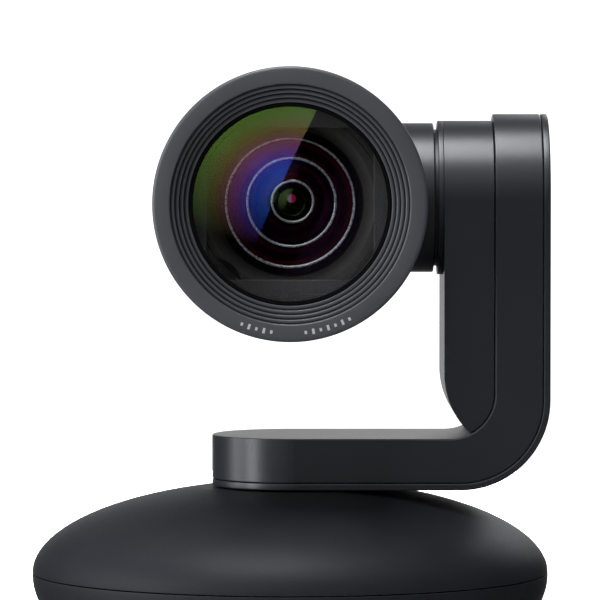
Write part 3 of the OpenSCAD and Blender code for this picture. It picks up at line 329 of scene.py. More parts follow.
# %% Dust that settles on what faces up
FACING_UP = 1.5
settled_dust, given, out = new_group("Settled dust", {"Amount": 0.1}, {"Mask": "value"})
upward = settled_dust.nodes.new("ShaderNodeSeparateXYZ")
feed(settled_dust, upward.inputs[0], settled_dust.nodes.new("ShaderNodeNewGeometry").outputs["Normal"])
flat_share = maths(settled_dust, "MULTIPLY_ADD", upward.outputs["Z"], FACING_UP, 1 - FACING_UP, clamp=True)
specks = maths(settled_dust, "POWER", noise(settled_dust, size_mm=0.5, detail=4), 2)
drifts = maths(settled_dust, "MULTIPLY", noise(settled_dust, size_mm=14, detail=2), specks)
lying = maths(settled_dust, "MULTIPLY", flat_share, drifts)
feed(settled_dust, out["Mask"], maths(settled_dust, "MULTIPLY", lying, given["Amount"]))

# %% Fine circles around the lens axis, and each point's radius from it
turning_lines, given, out = new_group(
    "Turning lines", {"Pitch mm": 0.2}, {"Height": "value", "Radius mm": "value"})
centred = turning_lines.nodes.new("ShaderNodeVectorMath")
centred.operation = "MULTIPLY_ADD"
feed(turning_lines, centred.inputs[0], own_place(turning_lines))
centred.inputs[1].default_value = (1, 0, 1)
centred.inputs[2].default_value = (0, 0, -LENS_Z)
reach = turning_lines.nodes.new("ShaderNodeVectorMath")
reach.operation = "LENGTH"
feed(turning_lines, reach.inputs[0], centred.outputs[0])
radius_mm = maths(turning_lines, "DIVIDE", reach.outputs["Value"], MM)
around_mm = maths(turning_lines, "MULTIPLY", radius_mm, 2 * math.pi)
turns = maths(turning_lines, "DIVIDE", around_mm, given["Pitch mm"])
feed(turning_lines, out["Height"], maths(turning_lines, "SINE", turns))
feed(turning_lines, out["Radius mm"], radius_mm)
print("shared effects:", [g.name for g in bpy.data.node_groups])

# %% [markdown]
# ## Moulded plastic and rubber
# The housings are a charcoal plastic with a fine satin grain; the base is the same plastic, spark-eroded
# a little coarser. Each could have its own material written out, but one function builds them all,
# because only the numbers differ: the colour, how glossy it is, the size and depth of the grain, and how
# strongly edges and dust show.

# %% Helpers for every finish
def place_group(tree, group, **values):
    """Puts a shared effect in a material. Names use _ for a space."""
    node = tree.nodes.new("ShaderNodeGroup")
    node.node_tree = group
    for label, value in values.items():
        feed(tree, node.inputs[label.replace("_", " ")], value)
    return node.outputs


def start_finish(name):
    """A new material with its tree and its Principled shader."""
    finish = bpy.data.materials.new(name)
    finish.use_nodes = True
    return finish, finish.node_tree, finish.node_tree.nodes["Principled BSDF"]


def raise_bumps(tree, shader, height, depth_mm):
    """Feeds a height to the shader's normal through a Bump node."""
    bump = tree.nodes.new("ShaderNodeBump")
    bump.inputs["Distance"].default_value = depth_mm * MM
    feed(tree, bump.inputs["Height"], height)
    feed(tree, shader.inputs["Normal"], bump.outputs[0])


# %% A function for moulded finishes
WEAR_AND_HIGHLIGHT_GAIN, WEAR_AND_HIGHLIGHT_LIFT, DUST_TONE = 2.2, 0.012, (0.34, 0.32, 0.3, 1)
GRAIN_DULLS, GRAIN_BASE, RUB_POLISHES, DUST_DULLS = 0.12, 0.03, 0.10, 0.5


def moulded(name, colour, rough, grain=0.3, depth=0.02, rub=0.5, dust=0.05, shine=0.5):
    """A moulded plastic or rubber finish; grain and depth are in millimetres."""
    finish, tree, shader = start_finish(name)
    height = place_group(tree, moulded_grain, Grain_mm=grain)["Height"]
    edge = place_group(tree, edge_wear_and_highlight, Width_mm=0.35, Strength=rub)["Mask"]
    dusty = place_group(tree, settled_dust, Amount=dust)["Mask"]
    tone = place_group(tree, tone_drift, Color=(*colour, 1), Amount=0.35, Patch_mm=16)["Color"]
    # edges turn lighter: rubbed wear, and on the bezel steps also a painted highlight along them
    lighter = tuple(min(1, v * WEAR_AND_HIGHLIGHT_GAIN + WEAR_AND_HIGHLIGHT_LIFT) for v in colour) + (1,)
    tone = blend_colours(tree, edge, tone, lighter)
    feed(tree, shader.inputs["Base Color"], blend_colours(tree, dusty, tone, DUST_TONE))
    gloss = maths(tree, "MULTIPLY_ADD", height, GRAIN_DULLS, rough - GRAIN_BASE)
    gloss = maths(tree, "MULTIPLY_ADD", edge, -RUB_POLISHES, gloss)
    feed(tree, shader.inputs["Roughness"], maths(tree, "MULTIPLY_ADD", dusty, DUST_DULLS, gloss))
    shader.inputs["Specular IOR Level"].default_value = shine
    raise_bumps(tree, shader, height, depth)
    return finish


# %% The plastics and rubbers of this camera
MOULDED = {
    "housing": dict(colour=(0.0112, 0.0118, 0.0145), rough=0.36, grain=0.28, depth=0.012),
    "base_housing": dict(colour=(0.0125, 0.0131, 0.0158), rough=0.52, grain=0.38, depth=0.03, shine=0.13),
    "bezel": dict(colour=(0.040, 0.042, 0.047), rough=0.46, grain=0.22, depth=0.010, rub=0.8, dust=0.02),
    # the steps' finish gets painted shade at each step's foot, and its strong edge lightening paints a
    # highlight along the step edges
    "bezel_steps": dict(colour=(0.050, 0.052, 0.057), rough=0.42, grain=0.22, depth=0.008, rub=1.5,
                        dust=0.02, shine=0.3),
    "black_plastic": dict(colour=(0.0045, 0.0045, 0.005), rough=0.5, rub=0.25),
    "mask_plastic": dict(colour=(0.032, 0.032, 0.033), rough=0.62, grain=0.45, depth=0.12, rub=0.6,
                         dust=0, shine=0.35),
    "funnel_plastic": dict(colour=(0.040, 0.038, 0.036), rough=0.6, grain=0.4, depth=0.08, rub=0.4,
                           dust=0, shine=0.12),
    "window_plastic": dict(colour=(0.008, 0.003, 0.004), rough=0.09, grain=2.0, depth=0.002, rub=0.2),
    "light_plastic": dict(colour=(0.55, 0.62, 0.68), rough=0.25, grain=0.6, depth=0.004, rub=0.2),
    "deep_black": dict(colour=(0.0012, 0.0012, 0.0014), rough=0.6, rub=0, dust=0, shine=0.08),
    "rubber": dict(colour=(0.011, 0.011, 0.011), rough=0.78, grain=0.5, depth=0.05, rub=0.3, dust=0.5,
                   shine=0.3),
    "belt": dict(colour=(0.010, 0.010, 0.010), rough=0.7, grain=0.25, depth=0.03, rub=0.4),
    "wheel_plastic": dict(colour=(0.68, 0.65, 0.58), rough=0.35, grain=0.6, depth=0.01, rub=0.1),
    "ribbon": dict(colour=(0.72, 0.70, 0.62), rough=0.22, grain=1.5, depth=0.004, rub=0.1),
}
finishes = {name: moulded(name, **numbers) for name, numbers in MOULDED.items()}
print(len(finishes), "moulded finishes")

# %% [markdown]
# ## Finishes that darken with their radius
# Little light reaches the foot of a narrow step or the throat of a funnel, so their shade is painted into
# the finish. Separate black pieces would leave a hard line, so one helper blends a finish towards black
# by its distance from the lens axis. The bezel's steps repeat, so there the share of painted shade starts
# again at every step; in the funnel it only rises once, from its throat to its mouth.

# %% Paint shade into the steps and the funnel
BEZEL_DEPTH, FLAT_R, BORE_R, STEP_DEEP, STEPS = 12.0, 29.05, 24.7, 1.3, 4
step_wide = (FLAT_R - BORE_R) / STEPS
STEP_RISE, STEP_START = 2.4, -0.55
THROAT_R, MOUTH_R = 16.2, 20.8
# the black of the painted shade at the step feet and in the funnel's throat
PAINTED_SHADE_BLACK = (0.001, 0.001, 0.001, 1)


def paint_shade_inward(name, share_of_radius):
    """Paints shade: blends a finish from black at share 0 to its own tone at share 1."""
    tree = finishes[name].node_tree
    base = tree.nodes["Principled BSDF"].inputs["Base Color"]
    own_tone = base.links[0].from_socket
    radius = place_group(tree, turning_lines, Pitch_mm=0.2)["Radius mm"]
    feed(tree, base, blend_colours(tree, share_of_radius(tree, radius), PAINTED_SHADE_BLACK, own_tone))


def step_shade_share(tree, radius):
    """Painted shade for the steps: 0, fully shaded, at the foot of each step and 1 over its front edge."""
    inward = maths(tree, "DIVIDE", maths(tree, "SUBTRACT", FLAT_R, radius), step_wide)
    return maths(tree, "MULTIPLY_ADD", maths(tree, "FRACT", inward), STEP_RISE, STEP_START, clamp=True)


def funnel_shade_share(tree, radius):
    """Painted shade for the funnel: 0, fully shaded, in the throat and 1 at the mouth."""
    return maths(tree, "DIVIDE", maths(tree, "SUBTRACT", radius, THROAT_R), MOUTH_R - THROAT_R, clamp=True)


paint_shade_inward("bezel_steps", step_shade_share)
paint_shade_inward("funnel_plastic", funnel_shade_share)
print("bezel steps are", round(step_wide, 2), "mm wide")

# %% [markdown]
# ## Metals
# Screws, sockets and shafts are metal. A flat metallic colour looks like paint: what makes a metal look
# real is the uneven gloss left by turning, grinding or plating. So its roughness follows streaks of noise
# and the surface carries faint lines, both from the same stretched noise.

# %% A function for metals
POLISHED_GAIN, POLISHED_LIFT, STREAK_DULLS, STREAK_BASE = 1.3, 0.05, 0.25, 0.1


def metal(name, colour, rough, streak=(1, 1, 1), grain=0.6, depth=0.004):
    """A metal finish; streak stretches its grain along an axis."""
    finish, tree, shader = start_finish(name)
    shader.inputs["Metallic"].default_value = 1
    stretched = tree.nodes.new("ShaderNodeVectorMath")
    stretched.operation = "MULTIPLY"
    feed(tree, stretched.inputs[0], own_place(tree))
    stretched.inputs[1].default_value = streak
    lines = noise(tree, grain, 4, stretched.outputs[0])
    edge = place_group(tree, edge_wear_and_highlight, Width_mm=0.25, Strength=0.6)["Mask"]
    tone = place_group(tree, tone_drift, Color=(*colour, 1), Amount=0.3, Patch_mm=5)["Color"]
    bright = tuple(min(1, v * POLISHED_GAIN + POLISHED_LIFT) for v in colour) + (1,)
    feed(tree, shader.inputs["Base Color"], blend_colours(tree, edge, tone, bright))
    gloss = maths(tree, "MULTIPLY_ADD", lines, STREAK_DULLS, rough - STREAK_BASE)
    feed(tree, shader.inputs["Roughness"], gloss)
    raise_bumps(tree, shader, lines, depth)
    return finish


finishes.update({
    "brass": metal("brass", (0.62, 0.43, 0.17), 0.30, (1, 1, 6)),
    "steel": metal("steel", (0.52, 0.52, 0.53), 0.26, (0.2, 6, 6)),
    "screw_steel": metal("screw_steel", (0.07, 0.07, 0.075), 0.38),
    "sheet_steel": metal("sheet_steel", (0.46, 0.47, 0.48), 0.36, (4, 1, 1), 1.2),
    "alloy": metal("alloy", (0.58, 0.59, 0.60), 0.32, (1, 1, 5)),
    "sink_alloy": metal("sink_alloy", (0.22, 0.23, 0.24), 0.42, (5, 1, 1)),
    "nickel": metal("nickel", (0.60, 0.59, 0.57), 0.22),
})
print(len(finishes) - len(MOULDED), "metals")

# %% [markdown]
# ## Circuit board and chip
# Inside are two green boards and an image sensor. The copper tracks under the green lacquer are a maze of
# thin raised lines. They could be drawn one by one, but no view shows their course, so a noise that is
# read in small square stairs gives a maze that is just as good.

# %% The board's tracks and the chip
TRACK_STEP_MM, MAZE_MM, TRACK_LEVEL, TRACK_PROUD_MM = 0.8, 3.5, 0.52, 0.03
LACQUER, LACQUER_ON_COPPER = (0.012, 0.075, 0.035, 1), (0.03, 0.15, 0.06, 1)
board, tree, shader = start_finish("board")
stairs = tree.nodes.new("ShaderNodeVectorMath")
stairs.operation = "SNAP"
feed(tree, stairs.inputs[0], own_place(tree))
stairs.inputs[1].default_value = (TRACK_STEP_MM * MM,) * 3
tracks = maths(tree, "GREATER_THAN", noise(tree, MAZE_MM, 1, stairs.outputs[0]), TRACK_LEVEL)
green = place_group(tree, tone_drift, Color=LACQUER, Amount=0.3, Patch_mm=8)["Color"]
feed(tree, shader.inputs["Base Color"], blend_colours(tree, tracks, green, LACQUER_ON_COPPER))
feed(tree, shader.inputs["Roughness"], maths(tree, "MULTIPLY_ADD", tracks, 0.08, 0.28))
raise_bumps(tree, shader, tracks, TRACK_PROUD_MM)
finishes["board"] = board
finishes["chip"] = moulded("chip", (0.020, 0.018, 0.045), 0.08, 1.0, 0.001, rub=0.1, dust=0)
print("inside finishes: board, chip")

# %% [markdown]
# ## Glass
# The window and the lens elements are clear polished glass. A see-through skin would be simpler, but it
# would not bend light, so the shader's own transmission is used. Clear glass is mostly reflections, so
# its colour only drifts very slightly. Each glass is also kept from casting a shadow, because light
# passes a lens window almost unweakened and the parts behind it must stay lit.

# %% Clear glass
def clear_glass(name, colour, bend, mirror):
    """Polished coated glass; bend is its index of refraction, mirror the colour that it sends back."""
    finish, tree, shader = start_finish(name)
    shader.inputs["Transmission Weight"].default_value = 1
    shader.inputs["IOR"].default_value = bend
    shader.inputs["Roughness"].default_value = 0
    shader.inputs["Specular IOR Level"].default_value = 0.15
    shader.inputs["Specular Tint"].default_value = (*mirror, 1)
    tone = place_group(tree, tone_drift, Color=(*colour, 1), Amount=0.03, Patch_mm=12)["Color"]
    feed(tree, shader.inputs["Base Color"], tone)
    return finish


finishes["window_glass"] = clear_glass("window_glass", (0.97, 0.98, 0.97), 1.35, (0.3, 0.7, 0.3))
finishes["lens_glass"] = clear_glass("lens_glass", (0.94, 0.96, 0.97), 1.25, (0.5, 0.3, 0.9))
GLASSES = ("window_glass", "lens_glass")
print("glasses:", GLASSES)

# %% [markdown]
# ## Dress the engineering parts
# Each engineering part keeps its shape and swaps its plain colour for the finish of the same name, or for
# the one that the list below gives it. Real mouldings have no knife edges, and rounding them in the mesh
# would change the part for good, so modifiers do it: a Weld joins the part's corner points, a planar
# Decimate clears needless cuts on flat faces, and a Bevel rounds what is left by a fraction of a
# millimetre. That tiny round is what catches the light along every edge.

# %% Which parts take another finish or another edge
SWAPS = {"base_dome": "base_housing", "base_pan": "base_housing", "lens_mask": "mask_plastic",
         "lens_barrel": "black_plastic", "front_ring": "funnel_plastic", "window_gasket": "deep_black",
         "ir_window": "window_plastic"}
EDGES = {"arm_shell": 0.35, "arm_cover": 0.30, "tilt_housing": 0.12, "base_dome": 0.22, "base_pan": 0.22,
         "head_front_shell": 0.30, "head_rear_shell": 0.30, "tilt_drum": 0.30, "tilt_collar": 0.15,
         "foot_ring": 0.30, "port_panel": 0.22, "lens_mask": 0.18}
DEFAULT_EDGE = 0.10
JOIN_WITHIN, FLAT_WITHIN = 2e-6, math.radians(0.6)


# %% Soften the edges and change the finishes
def soften(piece, width_mm, sharp=38, parts=2):
    """Rounds a piece's edges with modifiers and leaves its mesh as it was."""
    piece.modifiers.new("Join", "WELD").merge_threshold = JOIN_WITHIN
    flat = piece.modifiers.new("Clear flats", "DECIMATE")
    flat.decimate_type, flat.angle_limit = "DISSOLVE", FLAT_WITHIN
    edge = piece.modifiers.new("Round edges", "BEVEL")
    edge.width, edge.segments = width_mm * MM, parts
    edge.limit_method, edge.angle_limit = "ANGLE", math.radians(sharp)
    edge.use_clamp_overlap = False
    piece.modifiers.new("Even shading", "WEIGHTED_NORMAL").keep_sharp = True


for name, node in nodes.items():
    plain = node.material_slots[0].material.name.split(".")[0]
    finish = finishes[SWAPS.get(name, plain)]
    for slot in node.material_slots:
        slot.material = finish
    if plain in GLASSES:
        node.visible_shadow = False
    else:
        soften(node, EDGES.get(name, DEFAULT_EDGE))
print("dressed", len(nodes), "parts")

# %% [markdown]
# ## Turned pieces
# Everything round about the lens axis was turned or moulded in a round tool: the bezel, the retaining
# rings and the glass. Stacked cylinders and cuts could make them, but it is more natural to work as a
# lathe does: draw half the section once and spin it. Each corner of the section is rounded first, so the
# edges are real geometry.

# %% Round the corners of a section
def rounded(corners, parts=3):
    """Points of a closed section; each corner is (along Y, radius, fillet), in millimetres."""
    points = []
    for i, (y, r, fillet) in enumerate(corners):
        here = Vector((y, r))
        before, after = (Vector(corners[j % len(corners)][:2]) for j in (i - 1, i + 1))
        if not fillet:
            points.append(here)
            continue
        start = here + (before - here).normalized() * fillet
        end = here + (after - here).normalized() * fillet
        for k in range(parts + 1):
            t = k / parts
            points.append(start.lerp(here, t).lerp(here.lerp(end, t), t))
    return points


def finish_mesh(name, mesh, finish, body, sharp=30):
    """Turns faces outward, shades them, and lets the piece ride its body."""
    work = bmesh.new()
    work.from_mesh(mesh)
    bmesh.ops.remove_doubles(work, verts=work.verts, dist=1e-7)
    bmesh.ops.recalc_face_normals(work, faces=work.faces)
    work.to_mesh(mesh)
    work.free()
    mesh.polygons.foreach_set("use_smooth", [True] * len(mesh.polygons))
    mesh.set_sharp_from_angle(angle=math.radians(sharp))
    piece = link(name, mesh)
    piece.data.materials.append(finishes[finish])
    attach(piece, body)
    return piece


# %% Spin a section around the lens axis
ON_AXIS = 1e-6


def turned(name, section, finish, body="head", around=192, sharp=30, off=(0, 0)):
    """Spins a closed section of (Y, radius) points in millimetres; off moves its axis in X and Z."""
    points, faces, starts = [], [], []
    for y, r in section:
        starts.append(len(points))
        count = around if r > ON_AXIS else 1
        for k in range(count):
            a = 2 * math.pi * k / around
            x, z = off[0] + r * math.cos(a), off[1] + r * math.sin(a)
            points.append((x * MM, y * MM, LENS_Z + z * MM))
    for i in range(len(section)):
        j = (i + 1) % len(section)
        wide_i, wide_j = section[i][1] > ON_AXIS, section[j][1] > ON_AXIS
        for k in range(around):
            n = (k + 1) % around
            a, b = starts[i] + (k if wide_i else 0), starts[i] + (n if wide_i else 0)
            c, d = starts[j] + (n if wide_j else 0), starts[j] + (k if wide_j else 0)
            corner = tuple(dict.fromkeys((a, b, c, d)))
            if len(corner) > 2:
                faces.append(corner)
    mesh = bpy.data.meshes.new(name)
    mesh.from_pydata(points, [], faces)
    return finish_mesh(name, mesh, finish, body, sharp)


# %% [markdown]
# ## The bezel ring
# The wide grey ring is the face of the camera. Behind its flat rim, narrow steps lead down to the window,
# and each step shows as a dark groove at the top and a bright line at the bottom. The steps could be
# painted on, but real ones shade themselves in every light, so the section is drawn step by step with a
# small round on every corner; their finish still adds painted shade at each step's foot and a painted
# highlight along its edges. It fills the engineering ring's own space. The window would mirror the ring's
# wall all round its rim; the ring and its gasket are left out of mirror images, so the window's colours
# run to its edge.

# %% Spin the bezel ring
front = FRONT_Y / MM
outer = RING_R / MM
back = front + BEZEL_DEPTH
REAR_CUT, SMALL_ROUND, RIM_ROUND, STEP_ROUND, BORE_ROUND = 0.6, 0.1, 0.95, 0.34, 0.15
corners = [(back, BORE_R, 0), (back, outer - REAR_CUT, SMALL_ROUND), (back - REAR_CUT, outer, SMALL_ROUND),
           (front, outer, RIM_ROUND)]
for step in range(STEPS):
    r = FLAT_R - step * step_wide
    corners.append((front + step * STEP_DEEP, r, STEP_ROUND))
    corners.append((front + (step + 1) * STEP_DEEP, r, SMALL_ROUND))
corners.append((front + STEPS * STEP_DEEP, BORE_R, BORE_ROUND))
bezel = turned("bezel_face_ring", rounded(corners, 4), "bezel")
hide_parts("bezel_ring")

# %% Give its steps their own finish
STEP_MARGIN = 0.05
bezel.data.materials.append(finishes["bezel_steps"])
for face in bezel.data.polygons:
    if math.hypot(face.center.x, face.center.z - LENS_Z) < (FLAT_R - STEP_MARGIN) * MM:
        face.material_index = 1
for rim_piece in (bezel, nodes["window_gasket"]):
    rim_piece.visible_glossy = False
print("bezel ring has", len(bezel.data.polygons), "faces")

# %% [markdown]
# ## The anti-reflection coating
# A coated lens window mirrors only a little, and in colour: green at the rim, then amber, violet and blue
# towards the middle, because the coating acts differently at each angle. The shader's thin film could
# work that out, but its colours are hard to steer. Instead a hair-thin skin on the glass's front mirrors
# with a colour taken from its radius and is otherwise almost clear.

# %% The coating's colours by radius
BANDS_END_MM = 25
COATING_BANDS = [
    (0.00, (0.008, 0.018, 0.010)), (0.19, (0.008, 0.018, 0.020)), (0.22, (0.004, 0.110, 0.84)),
    (0.33, (0.006, 0.075, 0.92)), (0.43, (0.08, 0.030, 0.74)), (0.53, (0.34, 0.050, 0.42)),
    (0.63, (0.36, 0.085, 0.14)), (0.73, (0.27, 0.17, 0.035)), (0.85, (0.19, 0.29, 0.030)),
    (1.0, (0.17, 0.40, 0.04))]
coating, tree, shader = start_finish("window_coating")
shader.inputs["Metallic"].default_value = 1
shader.inputs["Roughness"].default_value = 0
shader.inputs["Alpha"].default_value = 0.13
radius = place_group(tree, turning_lines, Pitch_mm=0.2)["Radius mm"]
bands = tree.nodes.new("ShaderNodeValToRGB")
feed(tree, bands.inputs[0], maths(tree, "DIVIDE", radius, BANDS_END_MM))
while len(bands.color_ramp.elements) < len(COATING_BANDS):
    bands.color_ramp.elements.new(0.5)
for stop, (share, colour) in zip(bands.color_ramp.elements, COATING_BANDS):
    stop.position, stop.color = share, (*colour, 1)
tone = place_group(tree, tone_drift, Color=bands.outputs[0], Amount=0.12, Patch_mm=9)["Color"]
feed(tree, shader.inputs["Base Color"], tone)
finishes["window_coating"] = coating
print("coating has", len(COATING_BANDS), "colours")

# %% Lay the coating on the window as a domed skin
FILM_INSET, FILM_PROUD, FILM_THICK, FILM_PARTS = 0.02, 0.05, 0.03, 40


def dome_band(inner_r, outer_r, bulge, rim_y, parts=24):
    """Points across a dome of radius bulge, from outer_r in to inner_r; its outer edge is at rim_y."""
    wide, narrow = math.asin(outer_r / bulge), math.asin(inner_r / bulge)
    tilts = [wide + (narrow - wide) * k / parts for k in range(parts + 1)]
    return [(rim_y - bulge * (math.cos(a) - math.cos(wide)), bulge * math.sin(a)) for a in tilts]


window_low, window_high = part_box("window_glass")
bulge_r = WINDOW_BULGE / MM
film_r = (window_high.x - window_low.x) / 2 / MM - FILM_INSET
film_rim = window_low.y / MM - FILM_PROUD + bulge_r - math.sqrt(bulge_r ** 2 - film_r ** 2)
film_front = dome_band(0, film_r, bulge_r, film_rim, FILM_PARTS)
film_back = dome_band(0, film_r, bulge_r, film_rim + FILM_THICK, FILM_PARTS)
film = turned("window_film", film_front + film_back[::-1], "window_coating")
film.visible_shadow = False
print("coating skin radius", round(film_r, 2), "mm")

# %% [markdown]
# ## The optics behind the window
# Looking in, one sees a stack of glass elements, each held by a turned black ring with a polished inner
# edge. The edges show as thin bright circles, one inside the other, and the glass between them is dark
# with a deep red or blue sheen; that sheen is a real tinted mirror on each element plus rings of painted
# sheen in its base colour. One disc with painted circles would look flat from the side, so each ring and
# each element is its own turned piece, at its own depth behind the front element.

# %% Retaining rings with polished edges
finishes["ring_edge"] = metal("ring_edge", (0.88, 0.88, 0.88), 0.25, grain=0.3, depth=0.0005)
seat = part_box("front_element")[1].y / MM
# each ring: label, hole radius, outer radius, depth of its front and back, how far it stands off the axis
RINGS = [("outer", 14.45, 16.9, 3.6, 5.2, 0), ("middle", 9.95, 10.7, 0.9, 4.6, 0.4),
         ("inner", 4.42, 5.1, 1.9, 5.6, 0.7)]
LIP, LIP_DEEP, LIP_ROUND, CROWN, CREST_SHARE = 0.58, 0.5, 0.03, 0.06, 0.4
RIDGE, RIDGE_SUNK, RIDGE_HIGH = 0.35, 0.3, 0.12
DRIFT_X, DRIFT_Z, FIT = 0.8, 0.5, 0.01
for label, hole, wide, near, far, drift in RINGS:
    y0, y1 = seat + near, seat + far
    off = (drift * DRIFT_X, drift * DRIFT_Z)
    ridges = max(1, round((wide - hole - LIP) / RIDGE))
    half_ridge = (wide - hole - LIP) / ridges / 2
    teeth = [(y0 + RIDGE_SUNK - RIDGE_HIGH * (k % 2), hole + LIP + half_ridge * k)
             for k in range(2 * ridges + 1)]
    under_lip = y0 + LIP_DEEP + 2 * FIT
    inside = [(y1, wide), (y1, hole + FIT), (under_lip, hole + FIT), (under_lip, hole + LIP)]
    turned(f"{label}_retaining_ring", teeth + inside, "deep_black", sharp=15, off=off)
    lip_out, lip_back, shoulder = hole + LIP - FIT, y0 + LIP_DEEP, y0 + CROWN
    lip = [(shoulder, hole, LIP_ROUND), (y0, hole + LIP * CREST_SHARE, 2 * LIP_ROUND),
           (shoulder, lip_out, LIP_ROUND), (lip_back, lip_out, 0), (lip_back, hole, 0)]
    turned(f"{label}_polished_lip", rounded(lip, 5), "ring_edge", sharp=60, off=off)
print("optics:", len(RINGS), "retaining rings with polished lips")

# %% Coated elements between the rings
# each element: label, inner and outer radius, radius of its dome, depth, sheen, refraction, tone of the
# painted sheen rings
ELEMENTS = [("second", 10.5, 14.2, 24, 4.4, (0.85, 0.03, 0.02), 1.6, 0.06),
            ("third", 5.1, 9.5, 16, 4.2, (0.70, 0.04, 0.02), 1.45, 0.035),
            ("pupil", 0, 4.1, 10, 4.6, (0.60, 1.0, 0.22), 1.85, 0.004)]
ELEMENT_THICK, BAND_CRISP, DARKEST = 1, 3, 0.004


def coated_element(name, colour, bend, painted_sheen, rough=0.03):
    """Dark coated glass, a tinted mirror over a black barrel, with rings of painted sheen in its base
    colour; the last argument sets how strong that painted sheen is.
    """
    finish, tree, shader = start_finish(name)
    shader.inputs["Roughness"].default_value = rough
    shader.inputs["IOR"].default_value = bend
    shader.inputs["Specular Tint"].default_value = (*colour, 1)
    wave = place_group(tree, turning_lines, Pitch_mm=2.6)["Height"]
    # rings of painted sheen: around the lens axis the base colour swells from the dark tone to the sheen
    # tone
    share = maths(tree, "POWER", maths(tree, "MULTIPLY_ADD", wave, 0.5, 0.5), BAND_CRISP)
    dark = tuple(v * DARKEST for v in colour) + (1,)
    sheen_tone = tuple(v * painted_sheen for v in colour) + (1,)
    feed(tree, shader.inputs["Base Color"], blend_colours(tree, share, dark, sheen_tone))
    return finish


for label, inner_r, outer_r, bulge, depth, colour, bend, painted_sheen in ELEMENTS:
    coat = f"{label}_coating"
    finishes[coat] = coated_element(coat, colour, bend, painted_sheen)
    face = dome_band(inner_r, outer_r, bulge, seat + depth)
    rear = seat + depth + ELEMENT_THICK
    turned(f"{label}_element", face + [(rear, inner_r), (rear, outer_r)], coat)
print("optics:", len(ELEMENTS), "coated elements")

# %% [markdown]
# ## The glint in the pupil
# In front of the dark pupil the lens sends back one small spot, pale on one side and crimson on the
# other. A tiny lamp would light everything around it, so the spot is a small glossy bead whose colour
# changes across it.

# %% Turn the bead
GLINT_PALE, GLINT_CRIMSON, GLINT_CRISP = (0.55, 0.68, 1.0, 1), (0.75, 0.015, 0.09, 1), 1.1
BEAD_R, BEAD_BULGE, BEAD_NEAR, BEAD_FAR, BEAD_OFF = 1.0, 1.3, 2.9, 3.4, (0.3, 1.0)
glint, tree, shader = start_finish("pupil_glint")
across = tree.nodes.new("ShaderNodeSeparateXYZ")
feed(tree, across.inputs[0], own_place(tree))
side = maths(tree, "MULTIPLY_ADD", across.outputs["X"], GLINT_CRISP / MM, 0.5, clamp=True)
feed(tree, shader.inputs["Base Color"], blend_colours(tree, side, GLINT_PALE, GLINT_CRIMSON))
shader.inputs["Roughness"].default_value = 0.12
finishes["pupil_glint"] = glint
bead = dome_band(0, BEAD_R, BEAD_BULGE, seat + BEAD_NEAR, 12)
bead += [(seat + BEAD_FAR, 0), (seat + BEAD_FAR, BEAD_R)]
turned("pupil_bead", bead, "pupil_glint", around=64, off=BEAD_OFF)
print("glint bead is", 2 * BEAD_R, "mm across")

# %% [markdown]
# ## The slot in the mask plate
# The plate between the window and the optics has a squarish opening and one short dark slot beside its
# lower left corner, where a tab of the lens holder comes through. A cut would need the engineering part
# changed, so the dark of the slot is painted shade: a thin black crescent laid on the plate, between the
# plate's round edge and a shallower curve.

# %% Bend a bar around the lens axis
def add_bar(points, faces, turns, depths, radii):
    """Adds a bar to lists of points and faces: its angles, its two depths, and two radii at each angle."""
    start = len(points)
    for a, pair in zip(turns, radii):
        for y in depths:
            points += [(r * MM * math.cos(a), y * MM, LENS_Z + r * MM * math.sin(a)) for r in pair]
    end = len(points) - 4
    for a in range(start, end, 4):
        b = a + 4
        faces += [(a, a + 1, b + 1, b), (a + 2, b + 2, b + 3, a + 3)]
        faces += [(a, b, b + 2, a + 2), (a + 1, a + 3, b + 3, b + 1)]
    faces += [(start, start + 2, start + 3, start + 1), (end, end + 1, end + 3, end + 2)]


def arc(from_degrees, to_degrees, parts):
    """Evenly spaced angles from one direction to another."""
    return [math.radians(from_degrees + (to_degrees - from_degrees) * k / parts) for k in range(parts + 1)]


# %% Lay the crescent on the plate
SLOT_FROM, SLOT_TO, SLOT_PARTS = 217, 237, 16
SLOT_R, SLOT_DIP, SLOT_LEAST, SLOT_PROUD, SLOT_SUNK = 21.9, 1.5, 0.12, 0.03, 0.05
plate_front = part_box("lens_mask")[0].y / MM
widths = [SLOT_LEAST + SLOT_DIP * math.sin(math.pi * k / SLOT_PARTS) for k in range(SLOT_PARTS + 1)]
points, faces = [], []
depths = (plate_front - SLOT_PROUD, plate_front + SLOT_SUNK)
add_bar(points, faces, arc(SLOT_FROM, SLOT_TO, SLOT_PARTS), depths, [(SLOT_R - w, SLOT_R) for w in widths])
crescent = bpy.data.meshes.new("mask_slot")
crescent.from_pydata(points, [], faces)
# the black crescent is painted shade standing in for the inside of the slot
finish_mesh("mask_slot", crescent, "deep_black", "head")
print("mask slot has", len(faces), "faces")

# %% [markdown]
# ## Marks on the bezel
# The lower part of such a ring usually carries printed words. Words belong to a maker, so here they are
# replaced by two groups of plain dashes, like a scale. A mask in the material could print them too, but
# ink has a thickness that catches the light, so each dash is a thin raised bar that follows the ring's
# curve.

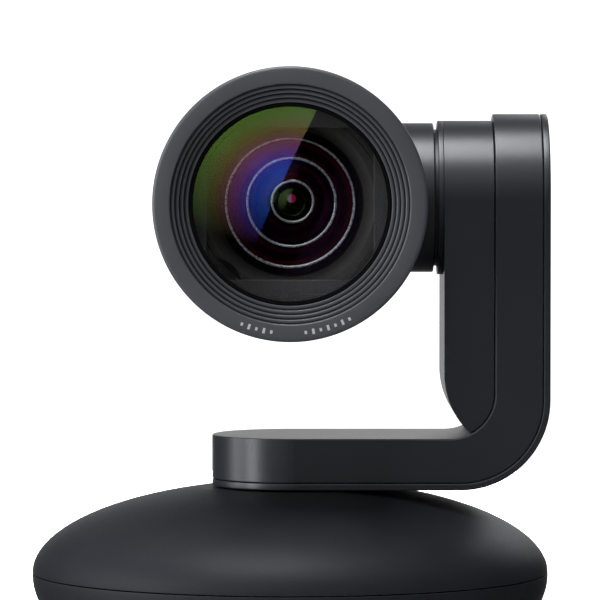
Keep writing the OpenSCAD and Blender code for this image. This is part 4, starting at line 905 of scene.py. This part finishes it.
# %% Print the dashes
finishes["print"] = moulded("print", (0.30, 0.31, 0.32), 0.6, 0.2, 0.004, rub=0.1, dust=0)
MARK_R, MARK_HIGH, MARK_LOW_SHARE, MARK_PROUD, MARK_SUNK, MARK_PARTS = 31.1, 1.3, 0.6, 0.03, 0.01, 6
MARK_GROUPS, MARK_PITCH, MARK_HALF = ((248, 5), (277, 7)), 3.4, 0.55
points, faces = [], []
for first, count in MARK_GROUPS:
    for i in range(count):
        middle = first + i * MARK_PITCH
        half_high = (MARK_HIGH if i % 2 else MARK_HIGH * MARK_LOW_SHARE) / 2
        turns = arc(middle - MARK_HALF, middle + MARK_HALF, MARK_PARTS)
        add_bar(points, faces, turns, (front + MARK_SUNK, front - MARK_PROUD),
                [(MARK_R - half_high, MARK_R + half_high)] * len(turns))
marks = bpy.data.meshes.new("bezel_marks")
marks.from_pydata(points, [], faces)
finish_mesh("bezel_marks", marks, "print", "head")
print("printed", sum(count for first, count in MARK_GROUPS), "dashes")

# %% [markdown]
# ## The floor
# A white sheet lies under the base. In a studio such a sheet is lit until it turns pure white and only
# the shadow under the object is left, but so much light would also brighten the object from below. Here
# its paper looks brighter to the camera than to the object, so the sheet turns white without throwing
# more light up. Shiny parts do not mirror it.

# %% Lay the white sheet
FLOOR_R, FLOOR_PARTS, PAPER_TONE, PAPER_SEEN = 0.6, 96, (0.7, 0.7, 0.7, 1), (2.6, 2.6, 2.6, 1)
rim = [(FLOOR_R * math.cos(a), FLOOR_R * math.sin(a), 0) for a in arc(0, 360, FLOOR_PARTS)[:-1]]
sheet = bpy.data.meshes.new("white_sheet")
sheet.from_pydata(rim, [], [tuple(range(FLOOR_PARTS))])
floor = link("white_sheet", sheet)
paper, tree, shader = start_finish("white_paper")
camera_ray = tree.nodes.new("ShaderNodeLightPath").outputs["Is Camera Ray"]
lit = blend_colours(tree, camera_ray, PAPER_TONE, PAPER_SEEN)
tone = place_group(tree, tone_drift, Color=lit, Amount=0.01, Patch_mm=60)["Color"]
feed(tree, shader.inputs["Base Color"], tone)
shader.inputs["Specular IOR Level"].default_value = 0
shader.inputs["Roughness"].default_value = 0.9
floor.data.materials.append(paper)
floor.visible_glossy = floor.visible_transmission = floor.visible_shadow = False
print("white sheet is", 2 * FLOOR_R, "m across")
